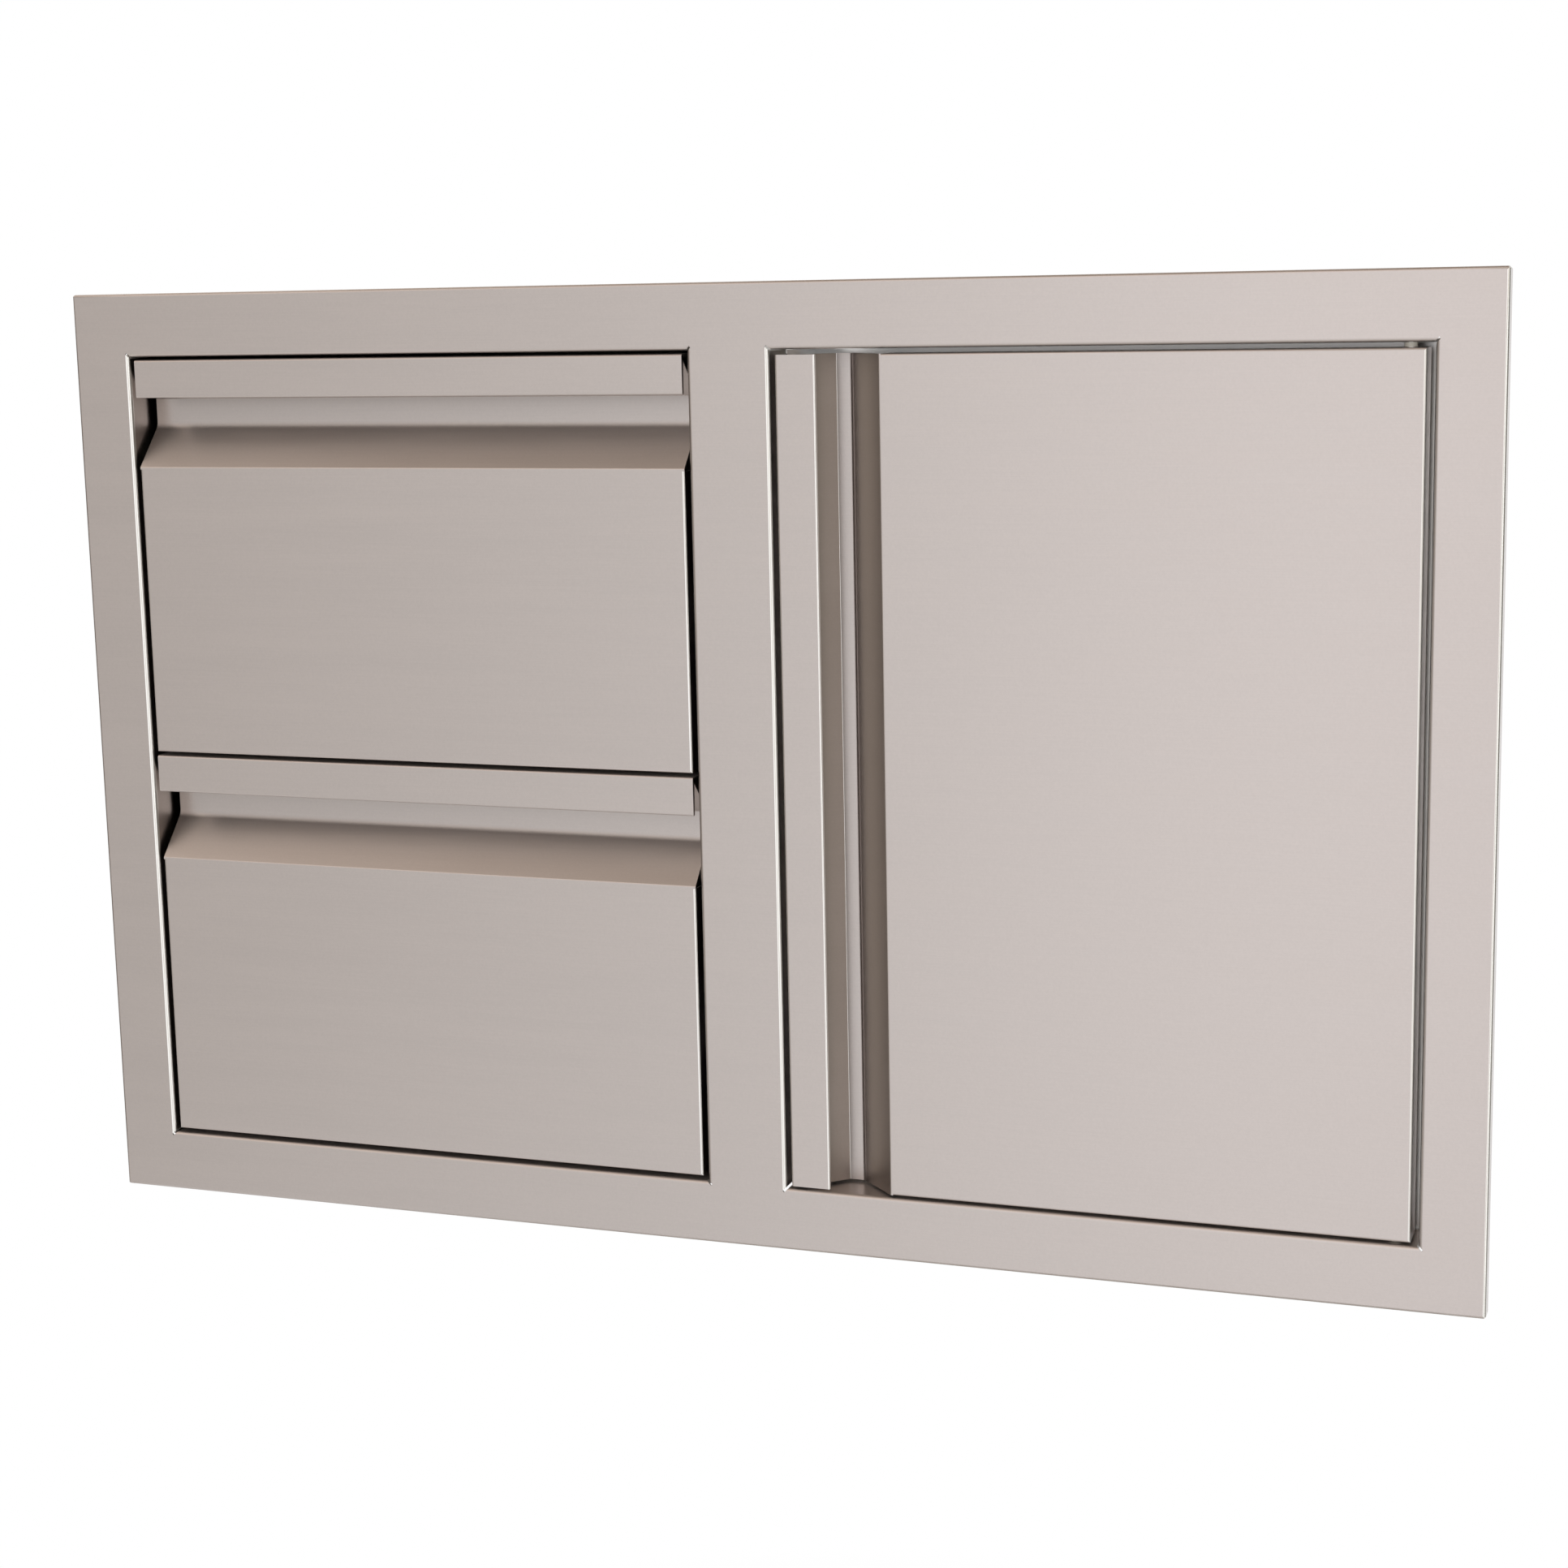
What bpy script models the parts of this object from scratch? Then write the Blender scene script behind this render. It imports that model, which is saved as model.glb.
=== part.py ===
"""Built-in cabinet of folded stainless steel sheet: two drawers beside one hinged door, in one face frame.

Metres, +Z up. X runs along the front, -Y points out of the wall, and y = 0 is the wall's face, where the
frame's edges rest. The origin is the middle of the cut-out in the wall. A depth is measured back from the
front of the face frame. Every piece is a thin sheet: its visible side is drawn and then given its thickness.
"""
import math

import bmesh
import bpy
from mathutils import Matrix, Vector

# Face frame: widths and heights from left to right and from top to bottom
LEFT_STILE = 0.037
DRAWER_OPENING = 0.36
MULLION = 0.049
DOOR_OPENING = 0.362
RIGHT_STILE = 0.03655
TOP_RAIL = 0.0374
OPENING_HEIGHT = 0.484
BOTTOM_RAIL = 0.0374
FRAME_SHEET = 0.0012
EDGE_DEPTH = 0.0095
EDGE_BEND = 0.0018
OPENING_BEND = 0.0023
RETURN_DEPTH = 0.029
STOP_FLANGE = 0.012
SLIT_WIDTH = 0.001
SLIT_REACH = 0.0015
CORNER_CUT = 0.0016

# Clearances: between pieces that touch, round the fronts, and past the end of a cut
CLEARANCE = 0.0003
DRAWER_GAP_LEFT = 0.0035
DRAWER_GAP_RIGHT = 0.003
DRAWER_GAP_TOP = 0.002
DRAWER_GAP_BETWEEN = 0.0024
DRAWER_GAP_BOTTOM = 0.0029
DOOR_GAP_LEFT = 0.0032
DOOR_GAP_RIGHT = 0.0043
DOOR_GAP_TOP = 0.003
DOOR_GAP_BOTTOM = 0.0018
OVERRUN = 0.002

# Skins of the drawers and the door, with their folded finger pulls
SKIN_SHEET = 0.001
SKIN_BEND = 0.0013
SKIN_RETURN = 0.019
RECESS_DEPTH = 0.0223
HEM_GAP = 0.0004
DRAWER_BAND = 0.0226
DRAWER_BACK_START = 0.024
DRAWER_BACK_WALL = 0.0176
DOOR_BAND = 0.0237
DOOR_BACK_START = 0.0288
DOOR_BACK_WALL = 0.0092
SLOPE_RUN = 0.0225

# Liners behind the skins
LINER_SHEET = 0.001
LINER_LAP = 0.005
LINER_HOOK = 0.008

# Housing round the drawers
HOUSING_SHEET = 0.001
HOUSING_BEND = 0.0015
HOUSING_DEPTH = 0.5207
HOUSING_SETBACK = 0.004
HOUSING_FLANGE = 0.014

# Ball bearing slides of three members
SLIDE_LENGTH = 0.4572
SLIDE_HEIGHT = 0.045
SLIDE_THICKNESS = 0.0127
SLIDE_SHEET = 0.0012
SLIDE_BEND = 0.002
SLIDE_SETBACK = 0.002
SLIDE_PLAY = 0.0004
SLIDE_OUTER_DEPTH = 0.0096
SLIDE_OUTER_LIP = 0.0024
SLIDE_MIDDLE_TRACK = 0.0044
SLIDE_MIDDLE_DEPTH = 0.0093
SLIDE_INNER_TRACK = 0.0036

# Drawer trays
TRAY_SHEET = 0.001
TRAY_BEND = 0.0025
TRAY_RISE = 0.022
TRAY_HEIGHT = 0.15
TRAY_HEM = 0.01
TRAY_BACK_FLANGE = 0.014
SLIDE_RISE = 0.062

# Pivots of the door
PIVOT_INSET = 0.009
PIVOT_DEPTH = 0.008
PIN_RADIUS = 0.0025
PIN_ENGAGEMENT = 0.012
PIN_HEAD_RADIUS = 0.0045
PIN_HEAD = 0.002
PIN_TIP = 0.0008
WASHER_RADIUS = 0.0035
BUSHING_RADIUS = 0.0042
BUSHING_LENGTH = 0.015
BLOCK_WIDTH = 0.014
BLOCK_DEPTH = 0.011
BLOCK_HEIGHT = 0.016
PLATE_WIDTH = 0.022
PLATE_DEPTH = 0.0108
PLATE_THICKNESS = 0.0025

# Catches, strikes and bumpers of the door
CATCH_WIDTH = 0.014
CATCH_DEPTH = 0.018
CATCH_HEIGHT = 0.046
CATCH_TAB = 0.0012
CATCH_TAB_REACH = 0.009
CATCH_INSET = 0.07
CATCH_EDGE = 0.001
STRIKE_WIDTH = 0.012
STRIKE_HEIGHT = 0.04
STRIKE_SHEET = 0.001
BUMPER_RADIUS = 0.0035
BUMPER_INSET = 0.0076
BUMPER_DROP = 0.024
BUMPER_EDGE = 0.0005

# Fineness
ARC_STEPS = 3
ROUND_STEPS = 24
MERGE = 0.000001

# Finishes: colour, metallic, roughness
BRUSHED_STEEL = ((0.47, 0.43, 0.4), 1.0, 0.38)
HOUSING_STEEL = ((0.42, 0.4, 0.38), 1.0, 0.45)
ZINC_STEEL = ((0.5, 0.52, 0.54), 1.0, 0.35)
PIN_STEEL = ((0.55, 0.55, 0.55), 1.0, 0.25)
NYLON = ((0.7, 0.68, 0.62), 0.0, 0.5)
BLACK_PLASTIC = ((0.03, 0.03, 0.03), 0.0, 0.55)
RUBBER = ((0.05, 0.05, 0.05), 0.0, 0.8)

# Places that follow from the sizes
FRONT_Y = -EDGE_DEPTH
FRAME_WIDTH = LEFT_STILE + DRAWER_OPENING + MULLION + DOOR_OPENING + RIGHT_STILE
FRAME_HEIGHT = TOP_RAIL + OPENING_HEIGHT + BOTTOM_RAIL
FRAME_LEFT = -FRAME_WIDTH / 2
FRAME_RIGHT = FRAME_WIDTH / 2
FRAME_BOTTOM = -FRAME_HEIGHT / 2
FRAME_TOP = FRAME_HEIGHT / 2
DRAWER_LEFT = FRAME_LEFT + LEFT_STILE
DRAWER_RIGHT = DRAWER_LEFT + DRAWER_OPENING
DOOR_LEFT = DRAWER_RIGHT + MULLION
DOOR_RIGHT = DOOR_LEFT + DOOR_OPENING
OPENING_BOTTOM = FRAME_BOTTOM + BOTTOM_RAIL
OPENING_TOP = OPENING_BOTTOM + OPENING_HEIGHT

DRAWER_FRONT_WIDTH = DRAWER_OPENING - DRAWER_GAP_LEFT - DRAWER_GAP_RIGHT
DRAWER_FRONT_HEIGHT = (OPENING_HEIGHT - DRAWER_GAP_TOP - DRAWER_GAP_BETWEEN - DRAWER_GAP_BOTTOM) / 2
DOOR_WIDTH = DOOR_OPENING - DOOR_GAP_LEFT - DOOR_GAP_RIGHT
DOOR_HEIGHT = OPENING_HEIGHT - DOOR_GAP_TOP - DOOR_GAP_BOTTOM
HEM_DEPTH = 2 * SKIN_SHEET + HEM_GAP
LINER_REAR = RECESS_DEPTH + SKIN_SHEET + CLEARANCE + LINER_SHEET
LINER_INSET = SKIN_SHEET + CLEARANCE
LINER_FLANGE = LINER_REAR - SKIN_RETURN + LINER_LAP

HOUSING_INNER_LEFT = DRAWER_LEFT - FRAME_SHEET - CLEARANCE
HOUSING_INNER_RIGHT = DRAWER_RIGHT + FRAME_SHEET + CLEARANCE
HOUSING_INNER_BOTTOM = OPENING_BOTTOM - FRAME_SHEET - CLEARANCE
HOUSING_INNER_TOP = OPENING_TOP + FRAME_SHEET + CLEARANCE
HOUSING_FRONT_Y = FRONT_Y + HOUSING_SETBACK
HOUSING_REAR_Y = HOUSING_DEPTH
SIDES_REAR_Y = HOUSING_REAR_Y - HOUSING_SHEET - CLEARANCE
SLIDE_FRONT_Y = FRONT_Y + RETURN_DEPTH + SLIDE_SETBACK
TRAY_FRONT_Y = FRONT_Y + LINER_REAR + CLEARANCE
TRAY_REAR_Y = SLIDE_FRONT_Y + SLIDE_LENGTH
TRAY_INSET = CLEARANCE + SLIDE_THICKNESS + CLEARANCE
TRAY_LEFT = HOUSING_INNER_LEFT + TRAY_INSET
TRAY_RIGHT = HOUSING_INNER_RIGHT - TRAY_INSET

PIVOT_X = DOOR_RIGHT - DOOR_GAP_RIGHT - PIVOT_INSET
PIVOT_Y = FRONT_Y + PIVOT_DEPTH
DOOR_TOP = OPENING_TOP - DOOR_GAP_TOP
DOOR_BOTTOM = OPENING_BOTTOM + DOOR_GAP_BOTTOM
BORE_RADIUS = PIN_RADIUS + CLEARANCE


def fresh_collection(name):
    collection = bpy.data.collections.new(name)
    bpy.context.scene.collection.children.link(collection)
    return collection


for leftover in list(bpy.data.objects):
    bpy.data.objects.remove(leftover)
PIECES = fresh_collection("door_and_drawer_cabinet")
CUTTERS = fresh_collection("cutters")


def body_empty(name, place):
    """Empty that a moving body's pieces hang on: it stands on the body's joint."""
    empty = bpy.data.objects.new(name, None)
    empty.location = place
    PIECES.objects.link(empty)
    return empty


def finish(obj, look):
    colour, metallic, roughness = look
    material = bpy.data.materials.new(obj.name + "_finish")
    material.use_nodes = True
    shader = material.node_tree.nodes["Principled BSDF"]
    shader.inputs["Base Color"].default_value = (*colour, 1)
    shader.inputs["Metallic"].default_value = metallic
    shader.inputs["Roughness"].default_value = roughness
    obj.data.materials.append(material)


def piece(name, bm, look, body=None):
    """Object from a mesh in world places, hung on its body's empty."""
    if body is not None:
        bmesh.ops.translate(bm, verts=bm.verts, vec=-body.location)
    mesh = bpy.data.meshes.new(name)
    bm.to_mesh(mesh)
    bm.free()
    obj = bpy.data.objects.new(name, mesh)
    PIECES.objects.link(obj)
    obj.parent = body
    finish(obj, look)
    return obj


def placed(origin, first, second, third):
    """Matrix that takes a drawing's three axes to these directions, from this origin."""
    return Matrix.Translation(origin) @ Matrix((first, second, third)).transposed().to_4x4()


def rounded(corners):
    """Line through corners of (across, along) or (across, along, radius), each radius as an arc."""
    line = [Vector(corners[0][:2])]
    for before, corner, after in zip(corners, corners[1:], corners[2:]):
        tip = Vector(corner[:2])
        radius = corner[2]
        back = (Vector(before[:2]) - tip).normalized()
        onward = (Vector(after[:2]) - tip).normalized()
        half = back.angle(onward) / 2
        centre = tip + (back + onward).normalized() * (radius / math.sin(half))
        spoke = tip + back * (radius / math.tan(half)) - centre
        sweep = math.pi - 2 * half
        turn = sweep if back.cross(onward) < 0 else -sweep
        steps = max(1, round(2 * ARC_STEPS * sweep / math.pi))
        for step in range(steps + 1):
            line.append(centre + Matrix.Rotation(turn * step / steps, 2) @ spoke)
    line.append(Vector(corners[-1][:2]))
    kept = line[:1]
    for point in line[1:]:
        if (point - kept[-1]).length > MERGE:
            kept.append(point)
    return kept


def add_grid(bm, rows):
    """Quads between neighbouring rows of points."""
    made = [[bm.verts.new(point) for point in row] for row in rows]
    for near, far in zip(made, made[1:]):
        for corners in zip(near, near[1:], far[1:], far):
            bm.faces.new(corners)


def sheet(name, bm, thickness, outside, look, body=None):
    """Sheet metal piece: the drawn side is the one that faces outside, and the metal lies behind it."""
    bmesh.ops.remove_doubles(bm, verts=bm.verts, dist=MERGE)
    bmesh.ops.recalc_face_normals(bm, faces=bm.faces)
    bm.normal_update()
    widest = max(bm.faces, key=lambda face: face.calc_area())
    if widest.normal.dot(Vector(outside)) < 0:
        bmesh.ops.reverse_faces(bm, faces=bm.faces)
    obj = piece(name, bm, look, body)
    solidify = obj.modifiers.new("sheet thickness", "SOLIDIFY")
    solidify.thickness = thickness
    solidify.offset = -1
    solidify.use_even_offset = True
    solidify.use_quality_normals = True
    return obj


def bent_sheet(name, corners, length, place, thickness, outside, look, body=None):
    """Sheet folded along straight bends: a section of rounded corners, drawn out over a length."""
    bm = bmesh.new()
    add_grid(bm, [[(a, b, 0), (a, b, length)] for a, b in rounded(corners)])
    bmesh.ops.transform(bm, matrix=place, verts=bm.verts)
    return sheet(name, bm, thickness, outside, look, body)


def box_mesh(low, high):
    bm = bmesh.new()
    size = Vector(high) - Vector(low)
    middle = (Vector(high) + Vector(low)) / 2
    bmesh.ops.create_cube(bm, size=1, matrix=Matrix.Translation(middle) @ Matrix.Diagonal((*size, 1)))
    return bm


def turned(name, profile, place, look, body=None):
    """Turned piece about a vertical axis, from a closed profile of (radius, height) that runs down outside."""
    bm = bmesh.new()
    points = [bm.verts.new((radius, 0, height)) for radius, height in profile]
    closed = profile[0][0] > 0
    for near, far in zip(points, points[1:] + points[:1] if closed else points[1:]):
        bm.edges.new((near, far))
    obj = piece(name, bm, look)
    obj.parent = body
    obj.location = Vector(place) - (body.location if body else Vector())
    screw = obj.modifiers.new("turning", "SCREW")
    screw.steps = ROUND_STEPS
    screw.render_steps = ROUND_STEPS
    screw.use_merge_vertices = True
    screw.merge_threshold = MERGE
    screw.use_smooth_shade = False
    return obj


def cutter(name, bm):
    mesh = bpy.data.meshes.new(name)
    bm.to_mesh(mesh)
    bm.free()
    obj = bpy.data.objects.new(name, mesh)
    obj.hide_render = True
    obj.display_type = "WIRE"
    CUTTERS.objects.link(obj)
    return obj


def drill(radius, x, y, bottom, top):
    """Cutter for an upright round hole."""
    bm = bmesh.new()
    middle = Matrix.Translation((x, y, (bottom + top) / 2))
    bmesh.ops.create_cone(bm, cap_ends=True, segments=ROUND_STEPS, radius1=radius, radius2=radius,
                          depth=top - bottom, matrix=middle)
    return bm


def combine(obj, other, operation):
    boolean = obj.modifiers.new(other.name, "BOOLEAN")
    boolean.operation = operation
    boolean.object = other
    boolean.solver = "EXACT"


def bevel(obj, width):
    edge = obj.modifiers.new("eased edges", "BEVEL")
    edge.width = width
    edge.segments = 1


def closed_ring(bm, xs, zs, section):
    """Section of (inset, depth) points swept round a rectangle, mitred at its four corners."""
    rows = []
    for inset, depth in section:
        across = [xs[0] + inset, *xs[1:-1], xs[-1] - inset]
        up = [zs[0] + inset, *zs[1:-1], zs[-1] - inset]
        row = [(x, depth, up[0]) for x in across]
        row += [(across[-1], depth, z) for z in up[1:]]
        row += [(x, depth, up[-1]) for x in reversed(across[:-1])]
        row += [(across[0], depth, z) for z in reversed(up[:-1])]
        rows.append(row)
    add_grid(bm, rows)


def flanged_end(bm, open_edge, closed_edge, half_width, section):
    """Flat end of a panel, with a mitred flange of this section on its three outer sides."""
    way = 1 if closed_edge > open_edge else -1
    rows = []
    for inset, depth in section:
        side = half_width - inset
        end = closed_edge - way * inset
        rows.append([(open_edge, -side, depth), (end, -side, depth), (end, side, depth), (open_edge, side, depth)])
    add_grid(bm, rows)
    first = rows[0]
    add_grid(bm, [[first[0], first[3]], [first[1], first[2]]])


def flanged_panel(name, length, width, section, strip, open_start, place, thickness, outside, look, body):
    """Panel with flanges all round but for one strip, whose (along, depth) line runs out at both sides.

    With an open start the strip also runs out beside the first end, which keeps its outer flange only.
    """
    bm = bmesh.new()
    half = width / 2
    flat = half - section[0][0]
    if open_start:
        strip = section[::-1] + strip
    else:
        flanged_end(bm, strip[0][0], 0, half, section)
    flanged_end(bm, strip[-1][0], length, half, section)
    add_grid(bm, [[(along, side, depth) for side in (-half, -flat, flat, half)] for along, depth in strip])
    bmesh.ops.transform(bm, matrix=place, verts=bm.verts)
    return sheet(name, bm, thickness, outside, look, body)


def make_face_frame():
    """One sheet with a rim folded back to the wall and returns folded in round both openings."""
    xs = [FRAME_LEFT + EDGE_BEND, DRAWER_LEFT - OPENING_BEND, DRAWER_RIGHT + OPENING_BEND,
          DOOR_LEFT - OPENING_BEND, DOOR_RIGHT + OPENING_BEND, FRAME_RIGHT - EDGE_BEND]
    zs = [FRAME_BOTTOM + EDGE_BEND, OPENING_BOTTOM - OPENING_BEND, OPENING_TOP + OPENING_BEND, FRAME_TOP - EDGE_BEND]
    bm = bmesh.new()
    for column in range(5):
        for row in range(3):
            if row != 1 or column in (0, 2, 4):
                add_grid(bm, [[(x, 0, z) for x in xs[column:column + 2]] for z in zs[row:row + 2]])
    rim = rounded([(EDGE_BEND, 0), (0, 0, EDGE_BEND), (0, EDGE_DEPTH)])
    closed_ring(bm, [FRAME_LEFT, *xs[1:-1], FRAME_RIGHT], [FRAME_BOTTOM, *zs[1:-1], FRAME_TOP], rim)
    drawer_return = rounded([(-OPENING_BEND, 0), (0, 0, OPENING_BEND), (0, RETURN_DEPTH)])
    closed_ring(bm, [DRAWER_LEFT, DRAWER_RIGHT], [OPENING_BOTTOM, OPENING_TOP], drawer_return)
    stop_depth = RETURN_DEPTH - FRAME_SHEET
    door_return = rounded([(-OPENING_BEND, 0), (0, 0, OPENING_BEND),
                           (0, stop_depth, OPENING_BEND - FRAME_SHEET), (STOP_FLANGE, stop_depth)])
    closed_ring(bm, [DOOR_LEFT, DOOR_RIGHT], [OPENING_BOTTOM, OPENING_TOP], door_return)
    bmesh.ops.translate(bm, verts=bm.verts, vec=(0, FRONT_Y, 0))
    frame = sheet("face_frame", bm, FRAME_SHEET, (0, -1, 0), BRUSHED_STEEL)
    outer_end = SLIT_REACH * math.sqrt(2)
    inner_end = -(STOP_FLANGE + OVERRUN) * math.sqrt(2)
    for opening, left, right in (("drawer", DRAWER_LEFT, DRAWER_RIGHT), ("door", DOOR_LEFT, DOOR_RIGHT)):
        for level, side, x, z, angle in (("upper", "right", right, OPENING_TOP, 45),
                                         ("upper", "left", left, OPENING_TOP, 135),
                                         ("lower", "left", left, OPENING_BOTTOM, 225),
                                         ("lower", "right", right, OPENING_BOTTOM, 315)):
            slit = box_mesh((inner_end, FRONT_Y - OVERRUN, -SLIT_WIDTH / 2),
                            (outer_end, FRONT_Y + RETURN_DEPTH + OVERRUN, SLIT_WIDTH / 2))
            corner = Matrix.Translation((x, 0, z)) @ Matrix.Rotation(-math.radians(angle), 4, "Y")
            bmesh.ops.transform(slit, matrix=corner, verts=slit.verts)
            combine(frame, cutter(f"{opening}_{level}_{side}_slit", slit), "DIFFERENCE")
    cut_back = CORNER_CUT / math.sqrt(2)
    for name, x, z, angle in (("upper_right", FRAME_RIGHT, FRAME_TOP, 45), ("upper_left", FRAME_LEFT, FRAME_TOP, 135),
                              ("lower_left", FRAME_LEFT, FRAME_BOTTOM, 225),
                              ("lower_right", FRAME_RIGHT, FRAME_BOTTOM, 315)):
        clip = box_mesh((-cut_back, FRONT_Y - OVERRUN, -OVERRUN),
                        (OVERRUN, FRONT_Y + EDGE_DEPTH + OVERRUN, OVERRUN))
        corner = Matrix.Translation((x, 0, z)) @ Matrix.Rotation(-math.radians(angle), 4, "Y")
        bmesh.ops.transform(clip, matrix=corner, verts=clip.verts)
        combine(frame, cutter(f"{name}_corner_cut", clip), "DIFFERENCE")
    for level, z in (("upper", OPENING_TOP), ("lower", OPENING_BOTTOM)):
        hole = drill(BORE_RADIUS, PIVOT_X, PIVOT_Y, z - FRAME_SHEET - OVERRUN, z + FRAME_SHEET + OVERRUN)
        combine(frame, cutter(f"frame_{level}_pin_hole", hole), "DIFFERENCE")


def make_housing():
    """Box behind the drawers: two sides, top, bottom and back, spot-welded over the frame's returns."""
    step = HOUSING_BEND - HOUSING_SHEET + CLEARANCE
    height = HOUSING_INNER_TOP - HOUSING_INNER_BOTTOM - 2 * step
    foot = HOUSING_INNER_BOTTOM + step
    for name, inner, out in (("housing_left_side", HOUSING_INNER_LEFT, -1),
                             ("housing_right_side", HOUSING_INNER_RIGHT, 1)):
        face = inner + out * HOUSING_SHEET
        corners = [(face, HOUSING_FRONT_Y), (face, SIDES_REAR_Y, HOUSING_BEND),
                   (face - out * HOUSING_FLANGE, SIDES_REAR_Y)]
        place = placed((0, 0, foot), (1, 0, 0), (0, 1, 0), (0, 0, 1))
        bent_sheet(name, corners, height, place, HOUSING_SHEET, (out, 0, 0), HOUSING_STEEL)
    left = HOUSING_INNER_LEFT - 2 * HOUSING_SHEET - CLEARANCE
    right = HOUSING_INNER_RIGHT + 2 * HOUSING_SHEET + CLEARANCE
    length = HOUSING_REAR_Y - HOUSING_BEND - CLEARANCE - HOUSING_FRONT_Y
    place = placed((0, HOUSING_FRONT_Y, 0), (1, 0, 0), (0, 0, 1), (0, 1, 0))
    top = HOUSING_INNER_TOP + HOUSING_SHEET
    bottom = HOUSING_INNER_BOTTOM - HOUSING_SHEET
    for name, level, up in (("housing_top", top, 1), ("housing_bottom", bottom, -1)):
        tip = level - up * HOUSING_FLANGE
        corners = [(left, tip), (left, level, HOUSING_BEND), (right, level, HOUSING_BEND), (right, tip)]
        bent_sheet(name, corners, length, place, HOUSING_SHEET, (0, 0, up), HOUSING_STEEL)
    upper = top + CLEARANCE + HOUSING_SHEET
    lower = bottom - CLEARANCE - HOUSING_SHEET
    tip = HOUSING_REAR_Y - HOUSING_FLANGE
    corners = [(tip, upper), (HOUSING_REAR_Y, upper, HOUSING_BEND), (HOUSING_REAR_Y, lower, HOUSING_BEND), (tip, lower)]
    place = placed((left, 0, 0), (0, 1, 0), (0, 0, 1), (1, 0, 0))
    bent_sheet("housing_back", corners, right - left, place, HOUSING_SHEET, (0, 1, 0), HOUSING_STEEL)


def pull_line(band, back_start, back_wall):
    """Finger pull from the band's edge to the crease: hem, chamfer behind the band, back wall and slope."""
    inner_bend = SKIN_BEND - SKIN_SHEET
    chamfer_start = back_start - (RECESS_DEPTH - HEM_DEPTH)
    crease = back_start + back_wall + SLOPE_RUN
    return rounded([(band - SKIN_BEND, 0), (band, 0, HEM_DEPTH / 2), (band, HEM_DEPTH, HEM_DEPTH / 2),
                    (chamfer_start, HEM_DEPTH, inner_bend), (back_start, RECESS_DEPTH, inner_bend),
                    (back_start + back_wall, RECESS_DEPTH, inner_bend), (crease, 0, SKIN_BEND),
                    (crease + SKIN_BEND, 0)])


def make_front(name, length, width, strip, origin, along, across, body):
    """Skin with a folded pull, and the liner that closes its back. The pull runs across the length."""
    section = rounded([(SKIN_BEND, 0), (0, 0, SKIN_BEND), (0, SKIN_RETURN)])
    skin = flanged_panel(name, length, width, section, strip, True, placed(origin, along, across, (0, 1, 0)),
                         SKIN_SHEET, (0, -1, 0), BRUSHED_STEEL, body)
    section = rounded([(SKIN_BEND, 0), (0, 0, SKIN_BEND), (0, LINER_FLANGE)])
    start = Vector(origin) + Vector(along) * LINER_INSET + Vector((0, LINER_REAR, 0))
    strip = [(LINER_HOOK, 0), (strip[-1][0], 0)]
    flanged_panel(name + "_liner", length - 2 * LINER_INSET, width - 2 * LINER_INSET, section, strip, False,
                  placed(start, along, across, (0, -1, 0)), LINER_SHEET, (0, 1, 0), HOUSING_STEEL, body)
    return skin


def slide_member(name, corners, side, edge, height, body, outward):
    """One member of a slide, drawn across from the housing's wall, at this height."""
    place = placed((edge, SLIDE_FRONT_Y, height), (side, 0, 0), (0, 0, 1), (0, 1, 0))
    bent_sheet(name, corners, SLIDE_LENGTH, place, SLIDE_SHEET, (side * outward, 0, 0), ZINC_STEEL, body)


def make_slides(level, height, drawer, carriage):
    """Slide on each side: outer member on the housing, middle member between, inner member on the tray."""
    outer = SLIDE_HEIGHT / 2
    middle = outer - SLIDE_SHEET - SLIDE_MIDDLE_TRACK
    inner = middle - SLIDE_SHEET - SLIDE_INNER_TRACK
    middle_web = SLIDE_SHEET + SLIDE_PLAY
    inner_tip = middle_web + SLIDE_SHEET + SLIDE_PLAY
    tip = SLIDE_OUTER_DEPTH
    lip = outer - SLIDE_OUTER_LIP
    reach = middle_web + SLIDE_MIDDLE_DEPTH
    back = SLIDE_THICKNESS
    outer_line = [(tip, lip), (tip, outer, SLIDE_BEND), (0, outer, SLIDE_BEND),
                  (0, -outer, SLIDE_BEND), (tip, -outer, SLIDE_BEND), (tip, -lip)]
    middle_line = [(reach, middle), (middle_web, middle, SLIDE_BEND), (middle_web, -middle, SLIDE_BEND), (reach, -middle)]
    inner_line = [(inner_tip, inner), (back, inner, SLIDE_BEND), (back, -inner, SLIDE_BEND), (inner_tip, -inner)]
    for hand, side, edge in (("left", 1, HOUSING_INNER_LEFT + CLEARANCE), ("right", -1, HOUSING_INNER_RIGHT - CLEARANCE)):
        slide_member(f"{level}_{hand}_slide_outer", outer_line, side, edge, height, None, -1)
        slide_member(f"{level}_{hand}_slide_middle", middle_line, side, edge, height, carriage, -1)
        slide_member(f"{level}_{hand}_slide_inner", inner_line, side, edge, height, drawer, 1)


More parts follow.
